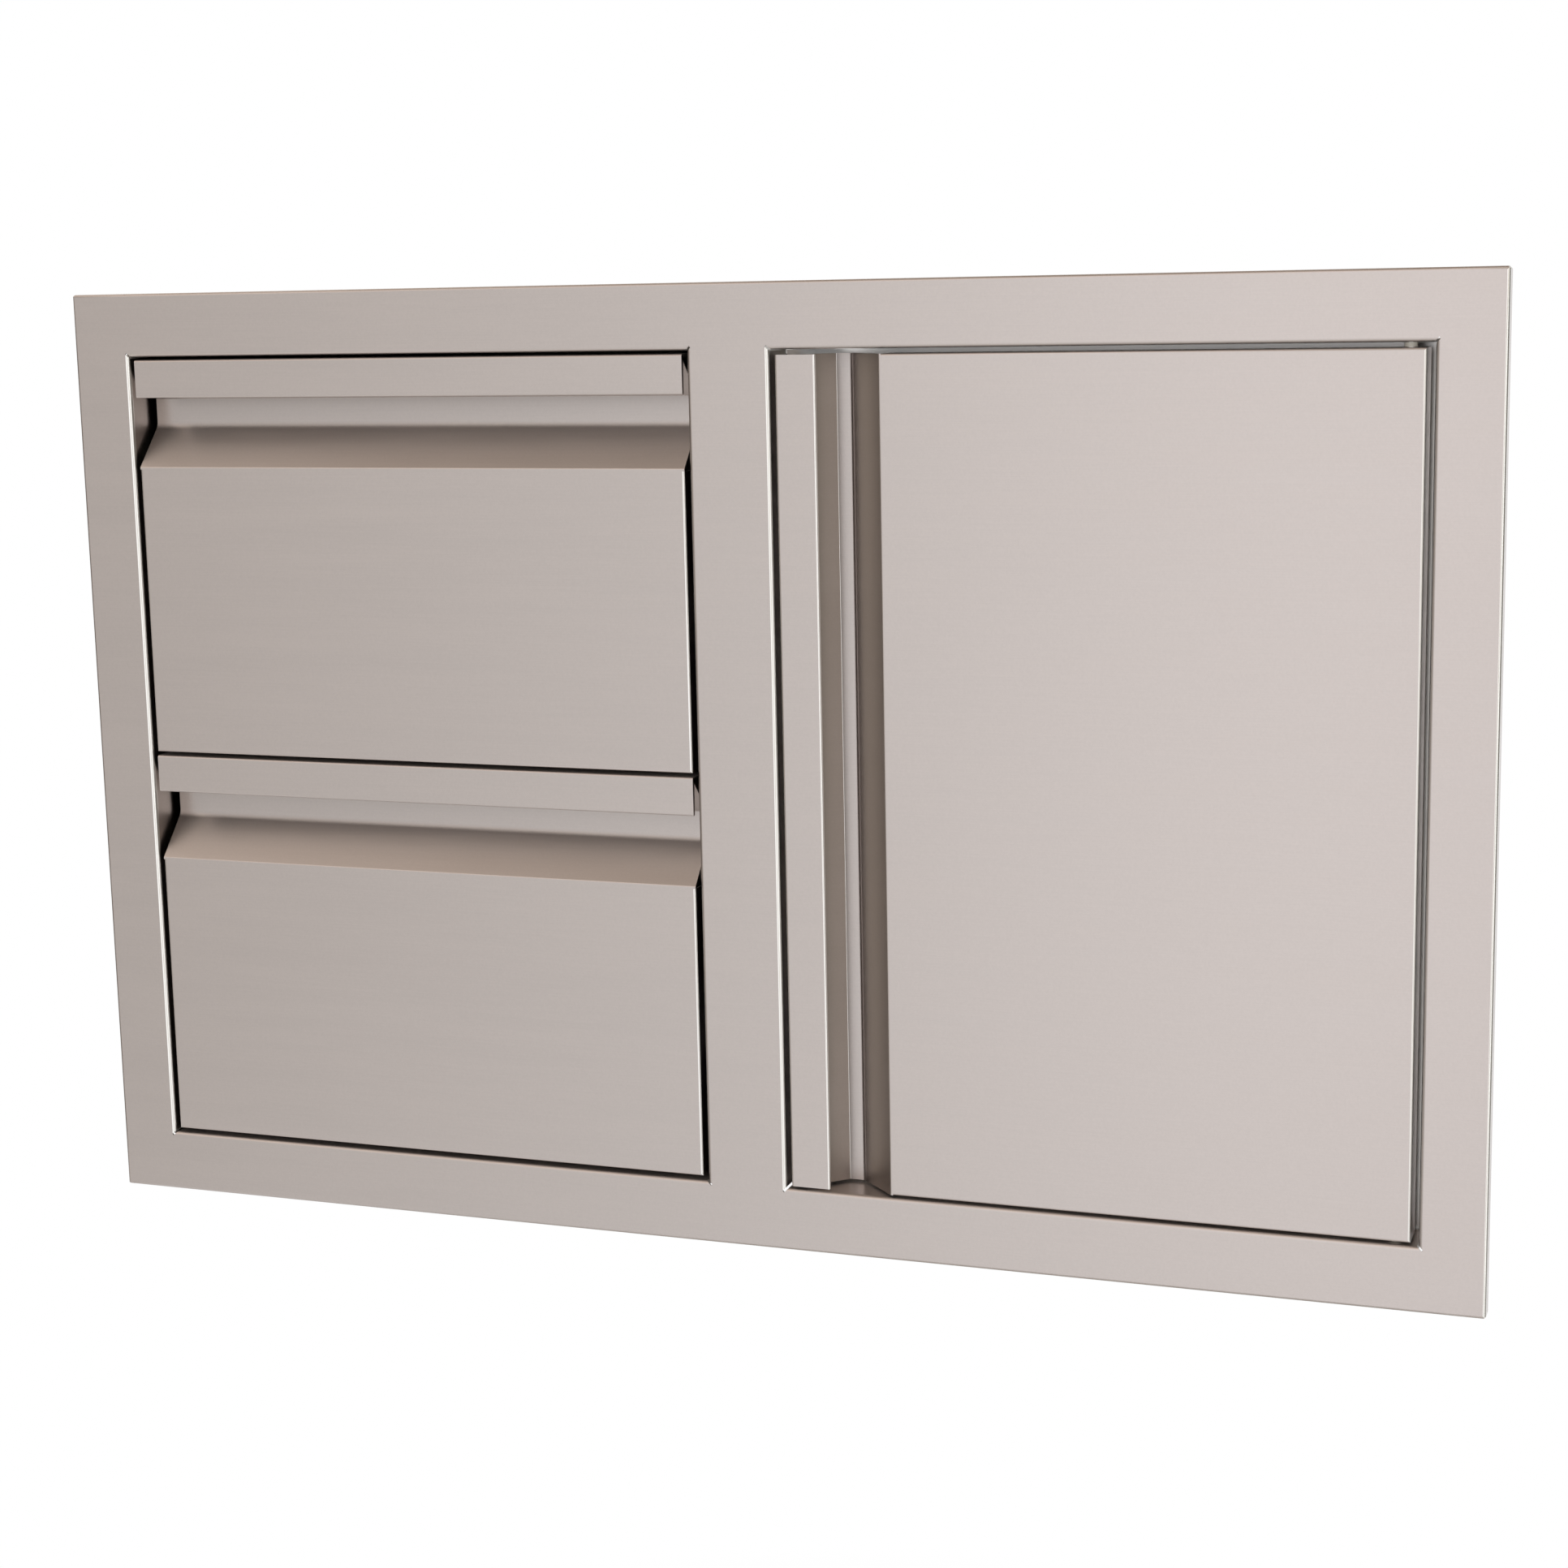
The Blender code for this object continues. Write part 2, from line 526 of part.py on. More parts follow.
def make_drawer(level, top):
    """Front with its pull and liner, tray with hemmed sides, back, and the slides that carry it."""
    bottom = top - DRAWER_FRONT_HEIGHT
    floor = bottom + TRAY_RISE
    slide_height = floor + SLIDE_RISE
    middle_x = (DRAWER_LEFT + DRAWER_GAP_LEFT + DRAWER_RIGHT - DRAWER_GAP_RIGHT) / 2
    drawer = body_empty(f"{level}_drawer", (middle_x, FRONT_Y, slide_height))
    carriage = body_empty(f"{level}_slide_middles", (middle_x, SLIDE_FRONT_Y, slide_height))
    strip = pull_line(DRAWER_BAND, DRAWER_BACK_START, DRAWER_BACK_WALL)
    make_front(f"{level}_drawer_front", DRAWER_FRONT_HEIGHT, DRAWER_FRONT_WIDTH, strip,
               (middle_x, FRONT_Y, top), (0, 0, -1), (1, 0, 0), drawer)
    make_slides(level, slide_height, drawer, carriage)
    rim = floor + TRAY_HEIGHT
    fold = 2 * TRAY_SHEET + HEM_GAP
    hem = [(fold, rim - TRAY_HEM), (fold, rim, fold / 2), (0, rim, fold / 2), (0, floor, TRAY_BEND)]
    corners = [(TRAY_LEFT + x, z, *bend) for x, z, *bend in hem]
    corners += [(TRAY_RIGHT - x, z, *bend) for x, z, *bend in reversed(hem)]
    place = placed((0, TRAY_FRONT_Y, 0), (1, 0, 0), (0, 0, 1), (0, 1, 0))
    bent_sheet(f"{level}_drawer_tray", corners, TRAY_REAR_Y - TRAY_FRONT_Y, place, TRAY_SHEET, (0, 0, -1),
               HOUSING_STEEL, drawer)
    left = TRAY_LEFT + TRAY_SHEET + CLEARANCE
    right = TRAY_RIGHT - TRAY_SHEET - CLEARANCE
    tip = TRAY_REAR_Y - TRAY_BACK_FLANGE
    corners = [(left, tip), (left, TRAY_REAR_Y, TRAY_BEND), (right, TRAY_REAR_Y, TRAY_BEND), (right, tip)]
    low = floor + TRAY_BEND + CLEARANCE
    high = rim - TRAY_HEM - CLEARANCE
    bent_sheet(f"{level}_drawer_back", corners, high - low, placed((0, 0, low), (1, 0, 0), (0, 1, 0), (0, 0, 1)),
               TRAY_SHEET, (0, 1, 0), HOUSING_STEEL, drawer)


def washer_profile(inner, outer, low, high):
    return [(outer, high), (outer, low), (inner, low), (inner, high)]


def make_pivot(level, up, frame_edge, door_edge, door):
    """Pivot at one end of the door: plate, pin and washer on the frame, block and bushing in the door."""
    def box(name, half_width, half_depth, near, far, body, look):
        ends = sorted((near, far))
        mesh = box_mesh((PIVOT_X - half_width, PIVOT_Y - half_depth, ends[0]),
                        (PIVOT_X + half_width, PIVOT_Y + half_depth, ends[1]))
        return piece(name, mesh, look, body)

    plate_near = frame_edge + up * (FRAME_SHEET + CLEARANCE)
    plate_far = plate_near + up * PLATE_THICKNESS
    plate = box(f"{level}_pivot_plate", PLATE_WIDTH / 2, PLATE_DEPTH / 2, plate_near, plate_far, None, ZINC_STEEL)
    block_near = door_edge - up * (SKIN_SHEET + CLEARANCE)
    block_far = block_near - up * BLOCK_HEIGHT
    block = box(f"{level}_pivot_block", BLOCK_WIDTH / 2, BLOCK_DEPTH / 2, block_near, block_far, door, ZINC_STEEL)
    ends = sorted((plate_near - up * OVERRUN, plate_far + up * OVERRUN))
    combine(plate, cutter(f"{level}_plate_hole", drill(BORE_RADIUS, PIVOT_X, PIVOT_Y, *ends)), "DIFFERENCE")
    ends = sorted((block_near + up * OVERRUN, block_far - up * OVERRUN))
    bore = drill(BUSHING_RADIUS + CLEARANCE, PIVOT_X, PIVOT_Y, *ends)
    combine(block, cutter(f"{level}_block_bore", bore), "DIFFERENCE")
    ends = sorted((block_near, block_near - up * BUSHING_LENGTH))
    turned(f"{level}_pivot_bushing", washer_profile(BORE_RADIUS, BUSHING_RADIUS, *ends), (PIVOT_X, PIVOT_Y, 0),
           NYLON, door)
    ends = sorted((door_edge + up * CLEARANCE, frame_edge - up * CLEARANCE))
    turned(f"{level}_pivot_washer", washer_profile(BORE_RADIUS, WASHER_RADIUS, *ends), (PIVOT_X, PIVOT_Y, 0), NYLON)
    shoulder = plate_far + up * CLEARANCE
    head = shoulder + up * PIN_HEAD
    tip = block_near - up * PIN_ENGAGEMENT
    profile = [(0, head), (PIN_HEAD_RADIUS, head), (PIN_HEAD_RADIUS, shoulder), (PIN_RADIUS, shoulder),
               (PIN_RADIUS, tip + up * PIN_TIP), (PIN_RADIUS - PIN_TIP, tip), (0, tip)]
    turned(f"{level}_pivot_pin", profile if up > 0 else profile[::-1], (PIVOT_X, PIVOT_Y, 0), PIN_STEEL)


def make_catch(level, up, frame_edge, door):
    """Magnet on the stop flange, its strike on the liner, and a rubber bumper."""
    middle = frame_edge - up * CATCH_INSET
    strike_y = FRONT_Y + LINER_REAR + CLEARANCE
    magnet_y = strike_y + STRIKE_SHEET + CLEARANCE
    case_left = DOOR_LEFT + STOP_FLANGE + CLEARANCE
    tab_y = FRONT_Y + RETURN_DEPTH + CLEARANCE
    case = box_mesh((case_left, magnet_y, middle - CATCH_HEIGHT / 2),
                    (case_left + CATCH_WIDTH, magnet_y + CATCH_DEPTH, middle + CATCH_HEIGHT / 2))
    catch = piece(f"{level}_magnet_catch", case, BLACK_PLASTIC)
    bevel(catch, CATCH_EDGE)
    tab = box_mesh((case_left - CATCH_TAB_REACH, tab_y, middle - STRIKE_HEIGHT / 2),
                   (case_left + CATCH_WIDTH / 2, tab_y + CATCH_TAB, middle + STRIKE_HEIGHT / 2))
    combine(catch, cutter(f"{level}_catch_tab", tab), "UNION")
    centre = case_left + CATCH_WIDTH / 2
    strike = box_mesh((centre - STRIKE_WIDTH / 2, strike_y, middle - STRIKE_HEIGHT / 2),
                      (centre + STRIKE_WIDTH / 2, strike_y + STRIKE_SHEET, middle + STRIKE_HEIGHT / 2))
    piece(f"{level}_strike_plate", strike, ZINC_STEEL, door)
    thickness = RETURN_DEPTH - FRAME_SHEET - LINER_REAR - 2 * CLEARANCE
    bm = bmesh.new()
    place = Matrix.Translation((DOOR_LEFT + BUMPER_INSET, strike_y + thickness / 2, frame_edge - up * BUMPER_DROP))
    bmesh.ops.create_cone(bm, cap_ends=True, segments=ROUND_STEPS, radius1=BUMPER_RADIUS, radius2=BUMPER_RADIUS,
                          depth=thickness, matrix=place @ Matrix.Rotation(math.pi / 2, 4, "X"))
    bumper = piece(f"{level}_door_bumper", bm, RUBBER)
    bevel(bumper, BUMPER_EDGE)


def make_door():
    """Door with its pull down the left side, turning on two pins near its right edge."""
    door = body_empty("door", (PIVOT_X, PIVOT_Y, 0))
    middle = (DOOR_TOP + DOOR_BOTTOM) / 2
    strip = pull_line(DOOR_BAND, DOOR_BACK_START, DOOR_BACK_WALL)
    skin = make_front("door_skin", DOOR_WIDTH, DOOR_HEIGHT, strip, (DOOR_LEFT + DOOR_GAP_LEFT, FRONT_Y, middle),
                      (1, 0, 0), (0, 0, 1), door)
    for level, up, frame_edge, door_edge in (("upper", 1, OPENING_TOP, DOOR_TOP),
                                             ("lower", -1, OPENING_BOTTOM, DOOR_BOTTOM)):
        ends = sorted((door_edge + up * OVERRUN, door_edge - up * (SKIN_SHEET + OVERRUN)))
        hole = drill(BORE_RADIUS, PIVOT_X, PIVOT_Y, *ends)
        combine(skin, cutter(f"door_{level}_pin_hole", hole), "DIFFERENCE")
        make_pivot(level, up, frame_edge, door_edge, door)
        make_catch(level, up, frame_edge, door)


make_face_frame()
make_housing()
make_drawer("upper", OPENING_TOP - DRAWER_GAP_TOP)
make_drawer("lower", OPENING_TOP - DRAWER_GAP_TOP - DRAWER_FRONT_HEIGHT - DRAWER_GAP_BETWEEN)
make_door()
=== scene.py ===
import math

import bmesh
import bpy
from mathutils import Matrix, Vector


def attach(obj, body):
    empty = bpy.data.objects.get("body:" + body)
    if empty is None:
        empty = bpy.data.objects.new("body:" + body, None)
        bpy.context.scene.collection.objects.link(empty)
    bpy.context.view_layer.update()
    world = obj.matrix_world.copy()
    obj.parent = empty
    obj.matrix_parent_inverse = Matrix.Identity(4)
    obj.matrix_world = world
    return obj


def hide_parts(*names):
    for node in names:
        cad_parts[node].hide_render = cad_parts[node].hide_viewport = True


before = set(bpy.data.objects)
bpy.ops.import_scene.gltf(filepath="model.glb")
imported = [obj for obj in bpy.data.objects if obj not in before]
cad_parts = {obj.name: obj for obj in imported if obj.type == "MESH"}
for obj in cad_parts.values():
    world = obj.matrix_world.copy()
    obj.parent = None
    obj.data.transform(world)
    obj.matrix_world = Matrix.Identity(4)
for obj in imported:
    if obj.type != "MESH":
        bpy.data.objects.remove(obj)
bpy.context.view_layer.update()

# Face frame. One sheet of 1.2 mm stainless steel, brushed along its width: the rim is folded back to the wall,
# returns are folded in round both openings, and a slit at each corner lets them fold.
LEFT_STILE, DRAWER_OPENING, MULLION, DOOR_OPENING, RIGHT_STILE = 0.037, 0.36, 0.049, 0.362, 0.03655
TOP_RAIL, OPENING_HEIGHT, BOTTOM_RAIL = 0.0374, 0.484, 0.0374
FRAME_SHEET = 0.0012
EDGE_DEPTH, EDGE_BEND = 0.0095, 0.0018
OPENING_BEND, RETURN_DEPTH, STOP_FLANGE = 0.0023, 0.029, 0.012
SLIT_WIDTH, SLIT_REACH, SLIT_INWARD = 0.0013, 0.0021, 0.014
DOOR_SLIT_DEPTH = 0.025
CORNER_CUT, CUT_MARGIN = 0.0016, 0.002
PIVOT_X, PIVOT_Y, PIN_HOLE, BORE_LENGTH = 0.372425, -0.0015, 0.0028, 0.006
ARC_STEPS, BORE_SIDES = 10, 32
MERGE, TOUCH = 0.000001, 0.0005
SHARP = math.radians(32)

STEEL_TONE, STEEL_SPREAD, STEEL_ROUGHNESS = (0.546, 0.496, 0.474), 0.035, 0.285
# Painted highlights: near-white on bends that face the light and on the shaded stop flange, and a lighter colour on
# sheared edges.
PAINTED_HIGHLIGHT, SHEARED_EDGE_HIGHLIGHT = (0.95, 0.94, 0.92, 1), (0.78, 0.76, 0.74, 1)
# Cells a metre along the grain and across it, and how much coarser its clouds are each way.
GRAIN_LONG, GRAIN_FINE, CLOUD_LONG, CLOUD_FINE = 22, 2600, 0.3, 0.03
# The largest part of a face's normal: below the first it lies at a slant, above the second it is flat.
SLANT_TO, FLAT_FROM = 0.73, 0.9985
# How far left or right a bend has to face to get the painted highlight.
LEFT_FROM, RIGHT_FROM = -0.73, 0.04
GRAIN_CENTRE = (-0.8, 10, 0)

FRONT_Y = -EDGE_DEPTH
FRAME_LEFT = -(LEFT_STILE + DRAWER_OPENING + MULLION + DOOR_OPENING + RIGHT_STILE) / 2
FRAME_BOTTOM = -(TOP_RAIL + OPENING_HEIGHT + BOTTOM_RAIL) / 2
DRAWER_LEFT = FRAME_LEFT + LEFT_STILE
DRAWER_RIGHT = DRAWER_LEFT + DRAWER_OPENING
DOOR_LEFT = DRAWER_RIGHT + MULLION
DOOR_RIGHT = DOOR_LEFT + DOOR_OPENING
OPENING_BOTTOM = FRAME_BOTTOM + BOTTOM_RAIL
OPENING_TOP = OPENING_BOTTOM + OPENING_HEIGHT


class Wire:
    """Output of a shader node. Operators on it add Math nodes, and node() adds any other kind."""

    def __init__(self, tree, socket=None):
        self.tree = tree
        self.socket = socket

    def node(self, kind, settings, sockets, output=0):
        made = self.tree.nodes.new("ShaderNode" + kind)
        for name, value in settings.items():
            if name == "stops":
                made.color_ramp.elements.remove(made.color_ramp.elements[1])
                made.color_ramp.elements[0].position, made.color_ramp.elements[0].color = value[0]
                for position, colour in value[1:]:
                    made.color_ramp.elements.new(position).color = colour
            else:
                setattr(made, name, value)
        for name, value in sockets.items():
            if isinstance(value, Wire):
                self.tree.links.new(value.socket, made.inputs[name])
            else:
                made.inputs[name].default_value = value
        return Wire(self.tree, made.outputs[output])

    def math(self, operation, first, second):
        return self.node("Math", {"operation": operation}, {0: first, 1: second})

    def __add__(self, other):
        return self.math("ADD", self, other)

    def __sub__(self, other):
        return self.math("SUBTRACT", self, other)

    def __rsub__(self, other):
        return self.math("SUBTRACT", other, self)

    def __mul__(self, other):
        return self.math("MULTIPLY", self, other)

    def step(self, low, high):
        """0 below low, 1 above high, and smooth between."""
        settings = {"interpolation_type": "SMOOTHSTEP"}
        return self.node("MapRange", settings, {"Value": self, "From Min": low, "From Max": high})

    def between(self, low, high):
        """Colour that goes from low to high as this goes from 0 to 1."""
        return self.node("Mix", {"data_type": "RGBA"}, {0: self, 6: low, 7: high}, 2)

    def noise(self, scale, detail):
        """Noise over the piece's own coordinates, with this many cells a metre along each axis."""
        place = self.node("TexCoord", {}, {}, "Object")
        place = self.node("Mapping", {}, {"Vector": place, "Scale": scale})
        return self.node("TexNoise", {}, {"Vector": place, "Scale": 1.0, "Detail": detail, "Roughness": 0.55})


def finish(name, colour, roughness, normal=None, **fixed):
    """Material whose colour, roughness and normal come from wires, and whose other sockets are plain numbers."""
    material = bpy.data.materials.new(name)
    material.use_nodes = True
    tree = material.node_tree
    shader = tree.nodes["Principled BSDF"]
    wires = Wire(tree)
    for socket, made in (("Base Color", colour(wires)), ("Roughness", roughness(wires))):
        tree.links.new(made.socket, shader.inputs[socket])
    if normal is not None:
        tree.links.new(normal(wires).socket, shader.inputs["Normal"])
    for socket, value in fixed.items():
        shader.inputs[socket.replace("_", " ").title()].default_value = value
    return material


def shades(tone, spread):
    """Tone made darker and lighter by this part of it."""
    return [(*(part * (1 + way * spread) for part in tone), 1) for way in (-1, 1)]


def brushed_steel(name, along, across):
    """Belt-brushed stainless steel, with this many streaks a metre along and across the grain, for each axis. The
    attribute cut_edge marks the sheet's sheared edges, which are rougher and get a lighter colour as a painted
    highlight. A second attribute marks faces that are painted near-white as a painted highlight: bends that face
    right or nearly straight left, and the shaded stop flange."""

    def streaks(wires):
        return wires.noise([a + c for a, c in zip(along, across)], 3.0)

    def clouds(wires):
        return wires.noise([a * CLOUD_LONG + c * CLOUD_FINE for a, c in zip(along, across)], 2.0)

    def marked(wires, attribute):
        return wires.node("Attribute", {"attribute_name": attribute}, {}, "Fac")

    def colour(wires):
        speckle = wires.noise((900, 900, 900), 3.0)
        grain = streaks(wires) * 0.35 + clouds(wires) * 0.25 + speckle * 0.4
        grained = grain.step(0.3, 0.7).between(*shades(STEEL_TONE, STEEL_SPREAD))
        # Painted highlight: marked bends and the stop flange are painted near-white.
        highlighted = marked(wires, "bend").between(grained, PAINTED_HIGHLIGHT)
        # Sheared edges: rougher, and painted lighter as a painted highlight of the light they catch.
        return marked(wires, "cut_edge").between(highlighted, SHEARED_EDGE_HIGHLIGHT)

    def roughness(wires):
        return streaks(wires) * 0.05 + clouds(wires) * 0.06 + STEEL_ROUGHNESS + marked(wires, "cut_edge") * 0.1

    def normal(wires):
        return wires.node("Bump", {}, {"Strength": 0.08, "Distance": 0.00004, "Height": streaks(wires)})

    return finish(name, colour, roughness, normal, metallic=1.0, anisotropic=0.75, anisotropic_rotation=0.25)


def rounded(corners):
    """Line through corners of (across, along) or (across, along, radius), each radius as a fine arc."""
    line = [Vector(corners[0][:2])]
    for before, corner, after in zip(corners, corners[1:], corners[2:]):
        tip = Vector(corner[:2])
        radius = corner[2]
        back = (Vector(before[:2]) - tip).normalized()
        onward = (Vector(after[:2]) - tip).normalized()
        half = back.angle(onward) / 2
        centre = tip + (back + onward).normalized() * (radius / math.sin(half))
        spoke = tip + back * (radius / math.tan(half)) - centre
        sweep = math.pi - 2 * half
        turn = sweep if back.cross(onward) < 0 else -sweep
        steps = max(2, round(2 * ARC_STEPS * sweep / math.pi))
        for step in range(steps + 1):
            line.append(centre + Matrix.Rotation(turn * step / steps, 2) @ spoke)
    line.append(Vector(corners[-1][:2]))
    kept = line[:1]
    for point in line[1:]:
        if (point - kept[-1]).length > MERGE:
            kept.append(point)
    return kept


def add_grid(bm, rows):
    """Quads between neighbouring rows of points."""
    made = [[bm.verts.new(point) for point in row] for row in rows]
    for near, far in zip(made, made[1:]):
        for corners in zip(near, near[1:], far[1:], far):
            bm.faces.new(corners)


def closed_ring(bm, xs, zs, section):
    """Section of (inset, depth) points swept round a rectangle, mitred at its four corners."""
    rows = []
    for inset, depth in section:
        across = [xs[0] + inset, *xs[1:-1], xs[-1] - inset]
        up = [zs[0] + inset, *zs[1:-1], zs[-1] - inset]
        row = [(x, depth, up[0]) for x in across]
        row += [(across[-1], depth, z) for z in up[1:]]
        row += [(x, depth, up[-1]) for x in reversed(across[:-1])]
        row += [(across[0], depth, z) for z in reversed(up[:-1])]
        rows.append(row)
    add_grid(bm, rows)


def linked(name, bm):
    mesh = bpy.data.meshes.new(name)
    bm.to_mesh(mesh)
    bm.free()
    obj = bpy.data.objects.new(name, mesh)
    bpy.context.scene.collection.objects.link(obj)
    return obj


def frozen(obj):
    """The object with its modifiers turned into plain mesh."""
    graph = bpy.context.evaluated_depsgraph_get()
    mesh = bpy.data.meshes.new_from_object(obj.evaluated_get(graph), preserve_all_data_layers=True, depsgraph=graph)
    obj.modifiers.clear()
    obj.data = mesh
    return obj


def gets_painted_highlight(normal):
    """Whether a face gets the painted highlight: a bend that faces right, or nearly straight left. Other bends keep
    their grain.
    """
    on_bend = SLANT_TO < max(map(abs, normal)) < FLAT_FROM
    return on_bend and not LEFT_FROM < normal.x < RIGHT_FROM


def folded_sheet(name, bm, thickness, outward, material, cutters=()):
    """Sheet whose drawn side faces outward: it gets its thickness behind that side, its cuts, and smooth bends."""
    bmesh.ops.remove_doubles(bm, verts=bm.verts, dist=MERGE)
    bmesh.ops.recalc_face_normals(bm, faces=bm.faces)
    bm.normal_update()
    widest = max(bm.faces, key=lambda face: face.calc_area())
    if widest.normal.dot(Vector(outward)) < 0:
        bmesh.ops.reverse_faces(bm, faces=bm.faces)
    obj = linked(name, bm)
    obj.data.materials.append(material)
    obj.data.materials.append(material.copy())
    solidify = obj.modifiers.new("thickness", "SOLIDIFY")
    solidify.thickness = thickness
    solidify.offset = -1
    solidify.use_even_offset = True
    solidify.use_quality_normals = True
    solidify.material_offset_rim = 1
    for cutter in cutters:
        cutter.data.materials.append(obj.data.materials[1])
        boolean = obj.modifiers.new(cutter.name, "BOOLEAN")
        boolean.operation = "DIFFERENCE"
        boolean.solver = "EXACT"
        boolean.material_mode = "TRANSFER"
        boolean.object = cutter
    frozen(obj)
    for cutter in cutters:
        bpy.data.objects.remove(cutter)
    mesh = obj.data
    cut_edge = [float(face.material_index > 0) for face in mesh.polygons]
    mesh.attributes.new("cut_edge", "FLOAT", "FACE").data.foreach_set("value", cut_edge)
    # Faces that get the painted highlight.
    bend = [float(gets_painted_highlight(face.normal)) for face in mesh.polygons]
    mesh.attributes.new("bend", "FLOAT", "FACE").data.foreach_set("value", bend)
    spare = mesh.materials[1]
    mesh.polygons.foreach_set("material_index", [0] * len(mesh.polygons))
    mesh.materials.pop(index=1)
    bpy.data.materials.remove(spare)
    mesh.shade_smooth()
    mesh.set_sharp_from_angle(angle=SHARP)
    weighted = obj.modifiers.new("flat sides stay flat", "WEIGHTED_NORMAL")
    weighted.weight = 100
    weighted.keep_sharp = True
    frozen(obj)
    # Without a UV map the shader takes the grain's direction round the middle of this space. Far behind the part,
    # that makes it level all over the sheet.
    obj.data.use_auto_texspace = False
    obj.data.texspace_location = GRAIN_CENTRE
    obj.data.texspace_size = (1, 1, 1)
    return obj


xs = [FRAME_LEFT + EDGE_BEND, DRAWER_LEFT - OPENING_BEND, DRAWER_RIGHT + OPENING_BEND,
      DOOR_LEFT - OPENING_BEND, DOOR_RIGHT + OPENING_BEND, -FRAME_LEFT - EDGE_BEND]
zs = [FRAME_BOTTOM + EDGE_BEND, OPENING_BOTTOM - OPENING_BEND, OPENING_TOP + OPENING_BEND, -FRAME_BOTTOM - EDGE_BEND]
bm = bmesh.new()
# The flat front, without the two cells that are the openings.
for column in range(5):
    for row in range(3):
        if row != 1 or column in (0, 2, 4):
            add_grid(bm, [[(x, 0, z) for x in xs[column:column + 2]] for z in zs[row:row + 2]])
rim = rounded([(EDGE_BEND, 0), (0, 0, EDGE_BEND), (0, EDGE_DEPTH)])
closed_ring(bm, [FRAME_LEFT, *xs[1:-1], -FRAME_LEFT], [FRAME_BOTTOM, *zs[1:-1], -FRAME_BOTTOM], rim)
drawer_return = rounded([(-OPENING_BEND, 0), (0, 0, OPENING_BEND), (0, RETURN_DEPTH)])
closed_ring(bm, [DRAWER_LEFT, DRAWER_RIGHT], [OPENING_BOTTOM, OPENING_TOP], drawer_return)
stop_depth = RETURN_DEPTH - FRAME_SHEET
door_return = rounded([(-OPENING_BEND, 0), (0, 0, OPENING_BEND), (0, stop_depth, OPENING_BEND - FRAME_SHEET),
                       (STOP_FLANGE, stop_depth)])
closed_ring(bm, [DOOR_LEFT, DOOR_RIGHT], [OPENING_BOTTOM, OPENING_TOP], door_return)
bmesh.ops.translate(bm, verts=bm.verts, vec=(0, FRONT_Y, 0))

frame_cuts = []
slit_out, slit_in = SLIT_REACH * math.sqrt(2), -SLIT_INWARD * math.sqrt(2)
# The door's slits end just before its stop flange, so that no light comes through at its corners.
for left, right, depth in ((DRAWER_LEFT, DRAWER_RIGHT, RETURN_DEPTH),
                           (DOOR_LEFT, DOOR_RIGHT, DOOR_SLIT_DEPTH)):
    for x, z, angle in ((right, OPENING_TOP, 45), (left, OPENING_TOP, 135), (left, OPENING_BOTTOM, 225),
                        (right, OPENING_BOTTOM, 315)):
        slit = bmesh.new()
        size = Matrix.Diagonal((slit_out - slit_in, depth + 2 * CUT_MARGIN, SLIT_WIDTH, 1))
        middle = Matrix.Translation(((slit_out + slit_in) / 2, FRONT_Y + depth / 2, 0))
        corner = Matrix.Translation((x, 0, z)) @ Matrix.Rotation(-math.radians(angle), 4, "Y")
        bmesh.ops.create_cube(slit, size=1, matrix=corner @ middle @ size)
        frame_cuts.append(linked("corner_slit", slit))
for x, z, angle in ((-FRAME_LEFT, -FRAME_BOTTOM, 45), (FRAME_LEFT, -FRAME_BOTTOM, 135),
                    (FRAME_LEFT, FRAME_BOTTOM, 225), (-FRAME_LEFT, FRAME_BOTTOM, 315)):
    clipped = bmesh.new()
    size = Matrix.Diagonal((CORNER_CUT * math.sqrt(2), 2 * EDGE_DEPTH + 2 * CUT_MARGIN, 4 * CORNER_CUT, 1))
    corner = Matrix.Translation((x, 0, z)) @ Matrix.Rotation(-math.radians(angle), 4, "Y")
    bmesh.ops.create_cube(clipped, size=1, matrix=corner @ size)
    frame_cuts.append(linked("clipped_corner", clipped))


def pin_bore(z):
    """Cutter for the hole that a pivot pin goes through."""
    bore = bmesh.new()
    bmesh.ops.create_cone(bore, cap_ends=True, segments=BORE_SIDES, radius1=PIN_HOLE, radius2=PIN_HOLE,
                          depth=BORE_LENGTH, matrix=Matrix.Translation((PIVOT_X, PIVOT_Y, z)))
    return linked("pin_bore", bore)


frame_cuts += [pin_bore(OPENING_TOP), pin_bore(OPENING_BOTTOM)]
level_grain = brushed_steel("brushed_steel_front", (GRAIN_LONG, GRAIN_LONG, 0), (0, 0, GRAIN_FINE))
face = folded_sheet("face_frame_sheet", bm, FRAME_SHEET, (0, -1, 0), level_grain, frame_cuts)
# Painted highlight: the stop flange deep in the door's opening lies in shade, so it is painted as bright as the
# highlighted bends.
highlight_marks = face.data.attributes["bend"].data
for polygon in face.data.polygons:
    if polygon.center.y > FRONT_Y + stop_depth - TOUCH:
        highlight_marks[polygon.index].value = 1.0
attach(face, "cabinet")
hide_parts("face_frame")

# Housing round the drawers. Five folded sheets of 1 mm stainless steel with a plain mill finish, lapped over
# each other and spot-welded, open at the front where the drawers come through.
SATIN_TONE, SATIN_SPREAD, SATIN_ROUGHNESS = (0.43, 0.41, 0.39), 0.05, 0.33
PATCHES, WELD_SPOTS = (14, 14, 14), (700, 700, 700)
HOUSING_TOP, HOUSING_SIDES = 0.2458, ((-0.387775, -1), (-0.022775, 1))
WELD_RADIUS, WELD_RISE = 0.0026, 0.05
WELD_FRONT, WELD_REAR = 0.008, 0.512
SIDE_WELDS, SIDE_START, SIDE_PITCH = 9, -0.22, 0.055
LID_WELDS, LID_START, LID_PITCH = 7, -0.36, 0.0515
HEAD_SEGMENTS, HEAD_RINGS = 20, 10


